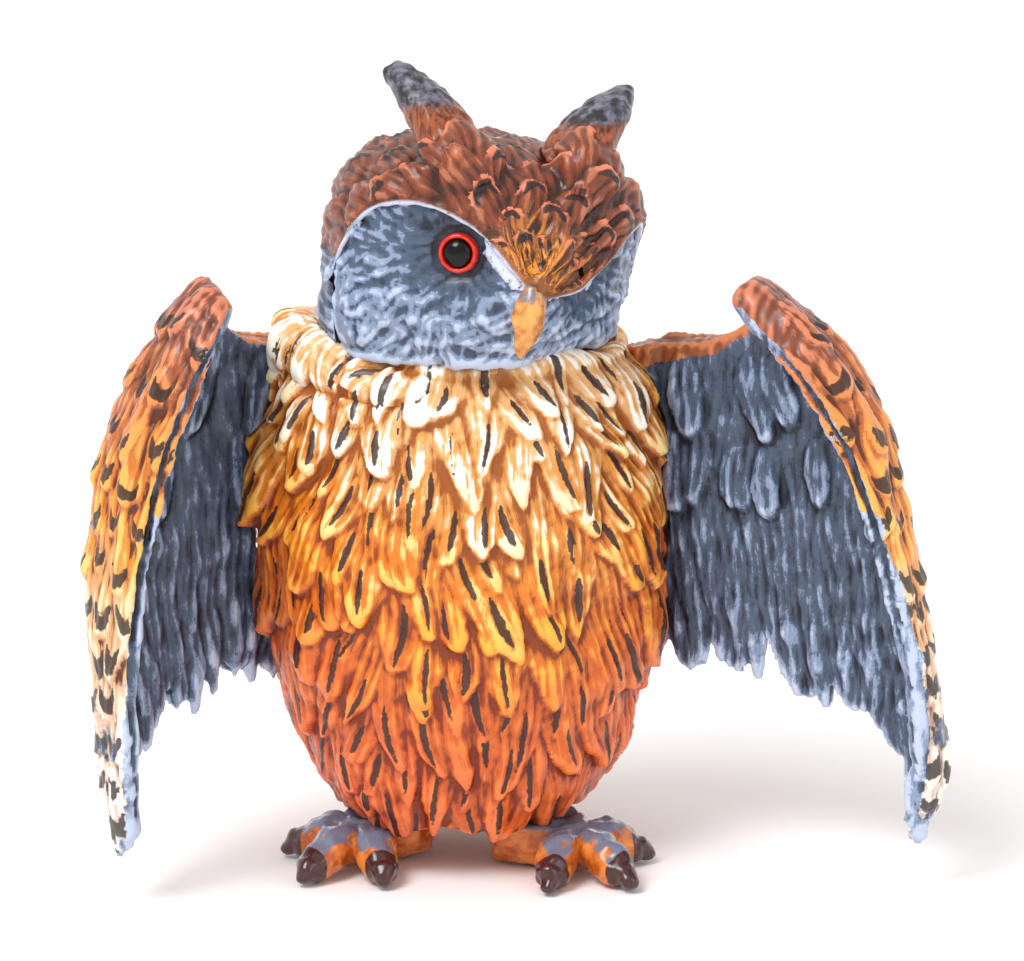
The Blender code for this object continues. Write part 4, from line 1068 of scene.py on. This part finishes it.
def turned_piece(name, profile, middle, axis, closed, sides=64):
    """A piece turned round an axis from (radius, height) pairs; if closed, the last joins the first."""
    across = axis.cross(Vector((0, 0, 1))).normalized()
    up = across.cross(axis).normalized()
    bm = bmesh.new()
    loops = []
    for radius, height in profile:
        turns = [2 * math.pi * k / sides for k in range(sides)]
        loop = [middle + (across * math.cos(a) + up * math.sin(a)) * radius + axis * height for a in turns]
        loops.append([bm.verts.new(p * MM) for p in loop])
    bridge(bm, loops + loops[:1] if closed else loops)
    if not closed:
        bm.faces.new(loops[0])
        bm.faces.new(loops[-1])
    bmesh.ops.recalc_face_normals(bm, faces=bm.faces)
    obj = make_object(name, bm)
    subdivide = obj.modifiers.new("round", "SUBSURF")
    subdivide.levels = subdivide.render_levels = 1
    return obj


# ---------------------------------------------------------------- wings


def wing_spine(stations, side, share, height):
    """Point of a wing's middle surface, a share of the way from its root to its front rim."""
    bend = Vector((curve_at(stations, height, 1), curve_at(stations, height, 2)))
    rim = Vector((curve_at(stations, height, 3), curve_at(stations, height, 4)))
    way = bend - WING_ROOT
    out = Vector((-way.y, way.x)).normalized()
    knots = [(0.0, WING_ROOT), (0.45, WING_ROOT + way * 0.55 + out * WING_CAMBER), (0.8, bend), (1.0, rim)]
    x, y = (curve_at([(k, p[i]) for k, p in knots], share) for i in (0, 1))
    return Vector((x * side, y, height)) + WING_ORIGIN


def wing(side, label, stations):
    node = f"{label}_wing"
    roll = [(linear_at(WING_ROLL, z), z) for z in np.arange(stations[0][0] + 3, stations[-1][0] - 1.5, 2.0)]

    def bulk(bm):
        """The rolled rim, the arm along the top, and the ragged feather tips."""
        path = [wing_spine(stations, side, linear_at(ROLL_SHARE, z), z) for _, z in roll]
        add_tube(bm, path, [r for r, _ in roll], facing=(0, 1, 0))
        shares = np.linspace(0.02, 0.66, 14)
        path = [wing_spine(stations, side, u, linear_at(WING_TOP, u) - 2.2) for u in shares]
        add_tube(bm, path, [2.7 - 1.1 * u for u in shares])
        for u in np.arange(0.05, 0.93, 0.058):
            u = u + CHANCE.uniform(-0.014, 0.014)
            low = max(linear_at(WING_TIPS, u) - CHANCE.uniform(-1.4, 2.8), 7.5)
            path = [wing_spine(stations, side, u, z) for z in np.linspace(low + 14, low, len(WING_TIP_RADII))]
            add_tube(bm, path, WING_TIP_RADII, sides=10)

    sculpt = Sculpt(f"{label}_wing_feathers", [node], voxel=0.45, extra=bulk, smooth=14)
    high = np.clip((sculpt.points[:, 2] - 79) / 6, 0, 1)[:, None]
    sculpt.points = sculpt.points * (1 - high) + sculpt.soften(sculpt.points, 60) * high
    sculpt.points[:, 2] += WING_TIP_RISE * np.clip((28 - sculpt.points[:, 2]) / 22, 0, 1)
    sculpt.write()
    shares, heights = np.linspace(0, 1, 61), np.linspace(5, 93, 60)
    tree = KDTree(len(shares) * len(heights))
    spine = {}
    for i, share in enumerate(shares):
        for j, height in enumerate(heights):
            spine[i, j] = wing_spine(stations, side, share, height)
            tree.insert(spine[i, j], i * len(heights) + j)
    tree.balance()

    def outward(i, j):
        """Normal of the wing's outer face."""
        i, j = min(max(i, 1), len(shares) - 2), min(max(j, 1), len(heights) - 2)
        across = spine[i + 1, j] - spine[i - 1, j]
        up = spine[i, j + 1] - spine[i, j - 1]
        return across.cross(up).normalized() * -side

    share = np.zeros(sculpt.count)
    facing, turned = np.zeros(sculpt.count), np.zeros(sculpt.count)
    for v, point in enumerate(sculpt.points):
        middle, index, _ = tree.find(point)
        i, j = divmod(index, len(heights))
        share[v] = shares[i]
        facing[v] = (Vector(point) - middle).dot(outward(i, j))
        turned[v] = Vector(sculpt.normals[v]).dot(outward(i, j))
    outer = np.clip((facing - 0.2) / 1.2, 0, 1)
    strip = (0.95, 0.95, 1.0, 1.0) if side > 0 else (0.97, 1, 1, 1)
    strip = np.interp(sculpt.points[:, 2], (10, 40, 70, 88), strip)
    outer = outer * np.clip((strip - share) / 0.04 + 1, 0, 1)
    crest = np.interp(share, [s for s, _ in WING_TOP], [z for _, z in WING_TOP])
    depth = np.interp(share, (0.0, 0.5, 0.7), (4.5, 2.5, 1.6)) if side > 0 else 1.2
    outer = np.maximum(outer, np.clip((sculpt.points[:, 2] - crest + depth) / 0.8, 0, 1))
    fold = (sculpt.points[:, 2] > 60) & (share > 0.6) & (turned > 0.15)
    outer = np.maximum(outer, sculpt.soften(fold.astype(float), 2))
    skin = sculpt.skin()
    tips = ((0.0, 44.0), *WING_TIPS, (1.0, 10.0))
    feathers = []

    def hang(u, z, face, length, width, lift, mark, curl):
        j = int(np.clip(np.searchsorted(heights, z), 1, len(heights) - 2))
        i = int(np.clip(np.searchsorted(shares, u), 1, len(shares) - 2))
        normal = outward(i, j) * face
        way = spine[i, j - 1] - spine[i, j + 1]
        hit = skin.ray_cast(spine[i, j] + normal * 8, -normal)
        if hit[0] is None or hit[3] > 9:
            return
        feathers.append(Feather(hit[0], normal, way, length, width, lift, mark, curl, 0.12))

    def rows(face):
        z, row = 91.0, 0
        while z > 8:
            long = z < (56 if face > 0 else 48)
            bare = face < 0 and (z > 74 or 0.5 < (z % 14) / 14)
            u = 0.03 + 0.035 * (row % 2)
            while u < 1.0:
                top, low = linear_at(WING_TOP, u), linear_at(tips, u)
                skip = CHANCE.random() < (0.4 if face < 0 and not long else 0.05)
                if low + 3 < z < top - 1 and not (skip or (bare and not long)):
                    width = (5.4 if face > 0 else 4.0 if long else 4.9) * CHANCE.uniform(0.8, 1.2)
                    length = (15.0 if face > 0 else 24.0) if long else 12.5
                    lift = (1.2 if face > 0 else 0.7 if long else 1.7) * CHANCE.uniform(0.6, 1.3)
                    level = z + CHANCE.uniform(-1.2, 1.2)
                    length *= CHANCE.uniform(0.85, 1.15)
                    mark = "crescent" if face > 0 else "none"
                    hang(u, level, face, length, width, lift, mark, CHANCE.uniform(-0.5, 0.5))
                u += 0.07 if face > 0 else 0.055
            z -= 6.2
            row += 1

    rows(1)
    rows(-1)
    sculpt.cover(feathers, 0.15, warp=0.5, warp_size=12.0)
    rim = np.exp(-(((share - 0.97) / 0.035) ** 2))
    grain = 0.12 * waves(sculpt.points * np.array((1, 1, 0.25)), 1.8, 6)
    sculpt.push(grain + 0.2 * waves(sculpt.points, 6.0, 13))
    sculpt.shade_marks()
    sculpt.marks["outer"] = outer
    sculpt.marks["tone"] = np.zeros(sculpt.count)
    # pale: a dry-brushed film along the rolled rim, stronger higher up, minus painted shade that darkens the
    # slate near the root, where the wing meets the body
    high = np.clip((sculpt.points[:, 2] - 30) / 30, 0.2, 1)
    sculpt.marks["pale"] = rim * high * (0.45 if side > 0 else 0.25) - 0.45 * np.clip(1 - share / 0.4, 0, 1)
    sculpt.finish(WING_PAINT, "slate_enamel", node)


# ---------------------------------------------------------------- tail and feet


def tail():
    sculpt = Sculpt("tail_feathers", ["tail"], voxel=0.4, smooth=6)
    skin = sculpt.skin()
    low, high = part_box("tail")
    low, high = low / MM, high / MM
    feathers = []
    for face in (-1, 1):
        for row, z in enumerate((29.0, 21.0, 14.0)):
            for k in range(7):
                x = low.x + (high.x - low.x) * (k + 0.5 + 0.5 * (row % 2)) / 7
                hit = skin.ray_cast(Vector((x, 25 + face * 15, z)), Vector((0, -face, 0)))
                if hit[0] is None:
                    continue
                way = Vector(((x - (low.x + high.x) / 2) * 0.03, 0, -1))
                feathers.append(Feather(hit[0], hit[1], way, 17.0, 5.2, 0.9, "bar", 0.0, 0.12))
    sculpt.cover(feathers, 0.1)
    sculpt.push(0.1 * waves(sculpt.points, 2.0, 7))
    sculpt.shade_marks()
    sculpt.marks["outer"] = np.ones(sculpt.count)
    sculpt.marks["pale"] = np.zeros(sculpt.count)
    sculpt.marks["tone"] = np.full(sculpt.count, 0.5)
    sculpt.finish(WING_PAINT, "russet_enamel", "tail")


def feet():
    material = foot_enamel()
    for label, (x, y, side) in FEET.items():
        node = f"{label}_foot"
        sculpt = Sculpt(f"{label}_foot_skin", [node], voxel=0.3, smooth=10)
        flat = np.clip(sculpt.points[:, 2] / 1.2, 0, 1)
        sculpt.push((0.35 + 0.25 * waves(sculpt.points, 3.6, 8) + 0.04 * waves(sculpt.points, 1.6, 9)) * flat)
        sculpt.points[:, 2] = np.maximum(sculpt.points[:, 2], 0.0)
        claw = np.zeros(sculpt.count)
        for dx, dy in TOES:
            tip = Vector((x + dx * side, y + dy, 0))
            reach = (Vector((dx * side, dy, 0))).normalized()
            far = (sculpt.points[:, :2] - np.array(tip)[:2]) @ np.array(reach)[:2]
            beside = np.linalg.norm(sculpt.points[:, :2] - np.array(tip)[:2], axis=1)
            claw = np.maximum(claw, np.clip((far - 0.3) / 0.8, 0, 1) * (beside < 5))
        sculpt.marks["claw"] = claw
        sculpt.marks["top"] = np.clip(sculpt.normals[:, 2] * 0.7 + (sculpt.points[:, 2] - 3) * 0.06, 0, 1)
        sculpt.finish(material, "ochre_enamel", node)


# ---------------------------------------------------------------- studio


def show(name, data, place, target):
    """Puts a camera or a light in the scene and points it at the target."""
    obj = bpy.data.objects.new(name, data)
    obj.location = place
    obj.rotation_euler = (Vector(target) - obj.location).to_track_quat("-Z", "Y").to_euler()
    bpy.context.scene.collection.objects.link(obj)
    return obj


def sweep(name, flat, rise, sides=64):
    """A round paper sweep: a level floor that curves up into a low wall."""
    bm = bmesh.new()
    profile = [(flat * k / 4, 0) for k in range(1, 5)]
    profile += [(flat + rise * math.sin(a), rise * (1 - math.cos(a))) for a in np.linspace(0.15, 1.4, 9)]
    turns = [2 * math.pi * k / sides for k in range(sides)]
    loops = []
    for radius, height in profile:
        ring = [(radius * math.cos(a), radius * math.sin(a), height - 0.0002) for a in turns]
        loops.append([bm.verts.new(p) for p in ring])
    bm.faces.new(loops[0])
    bridge(bm, loops[::-1])
    return make_object(name, bm)


def studio():
    scene = bpy.context.scene
    camera = bpy.data.cameras.new("camera")
    camera.lens, camera.sensor_width, camera.clip_end = LENS, SENSOR, 20
    rise = math.radians(CAMERA_RISE)
    eye = TARGET + Vector((0, -math.cos(rise), math.sin(rise))) * DISTANCE
    scene.camera = show("camera", camera, eye, TARGET)
    for name, (place, size, power) in SOFTBOXES.items():
        light = bpy.data.lights.new(name, "AREA")
        light.shape, light.size, light.energy = "DISK", size, power
        show(name, light, place, (0, 0, 0.05))
    lamp = bpy.data.lights.new("skylight", "SUN")
    lamp.energy, lamp.angle = SKYLIGHT_POWER, math.radians(SKYLIGHT_ANGLE)
    show("skylight", lamp, SKYLIGHT_PLACE, (0, 0, 0))
    world = bpy.data.worlds.new("studio")
    world.use_nodes = True
    background = world.node_tree.nodes["Background"].inputs
    background[0].default_value = (1, 1, 1, 1)
    background[1].default_value = WORLD_LIGHT
    scene.world = world
    scene.view_settings.view_transform = "Standard"

    floor = sweep("floor", FLOOR_RADIUS, FLOOR_RISE)
    paper = Enamel("paper", roughness=0.9, coat=0.0)
    colour = paper.mix(paper.noise(40.0, 2.0), (0.93, 0.92, 0.92, 1), (0.95, 0.945, 0.945, 1))
    floor.data.materials.append(paper.done(colour))


# ---------------------------------------------------------------- assembly

torso()
crown()
mask()
beak()
tufts()
eyes()
WING_PAINT = wing_enamel()
wing(1, "left", LEFT_WING_STATIONS)
wing(-1, "right", RIGHT_WING_STATIONS)
tail()
feet()

BRASS = brass()
for name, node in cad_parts.items():
    if any(word in name for word in ("nut", "stud", "screw", "pin", "washer")):
        node.data.materials.clear()
        node.data.materials.append(BRASS)

studio()
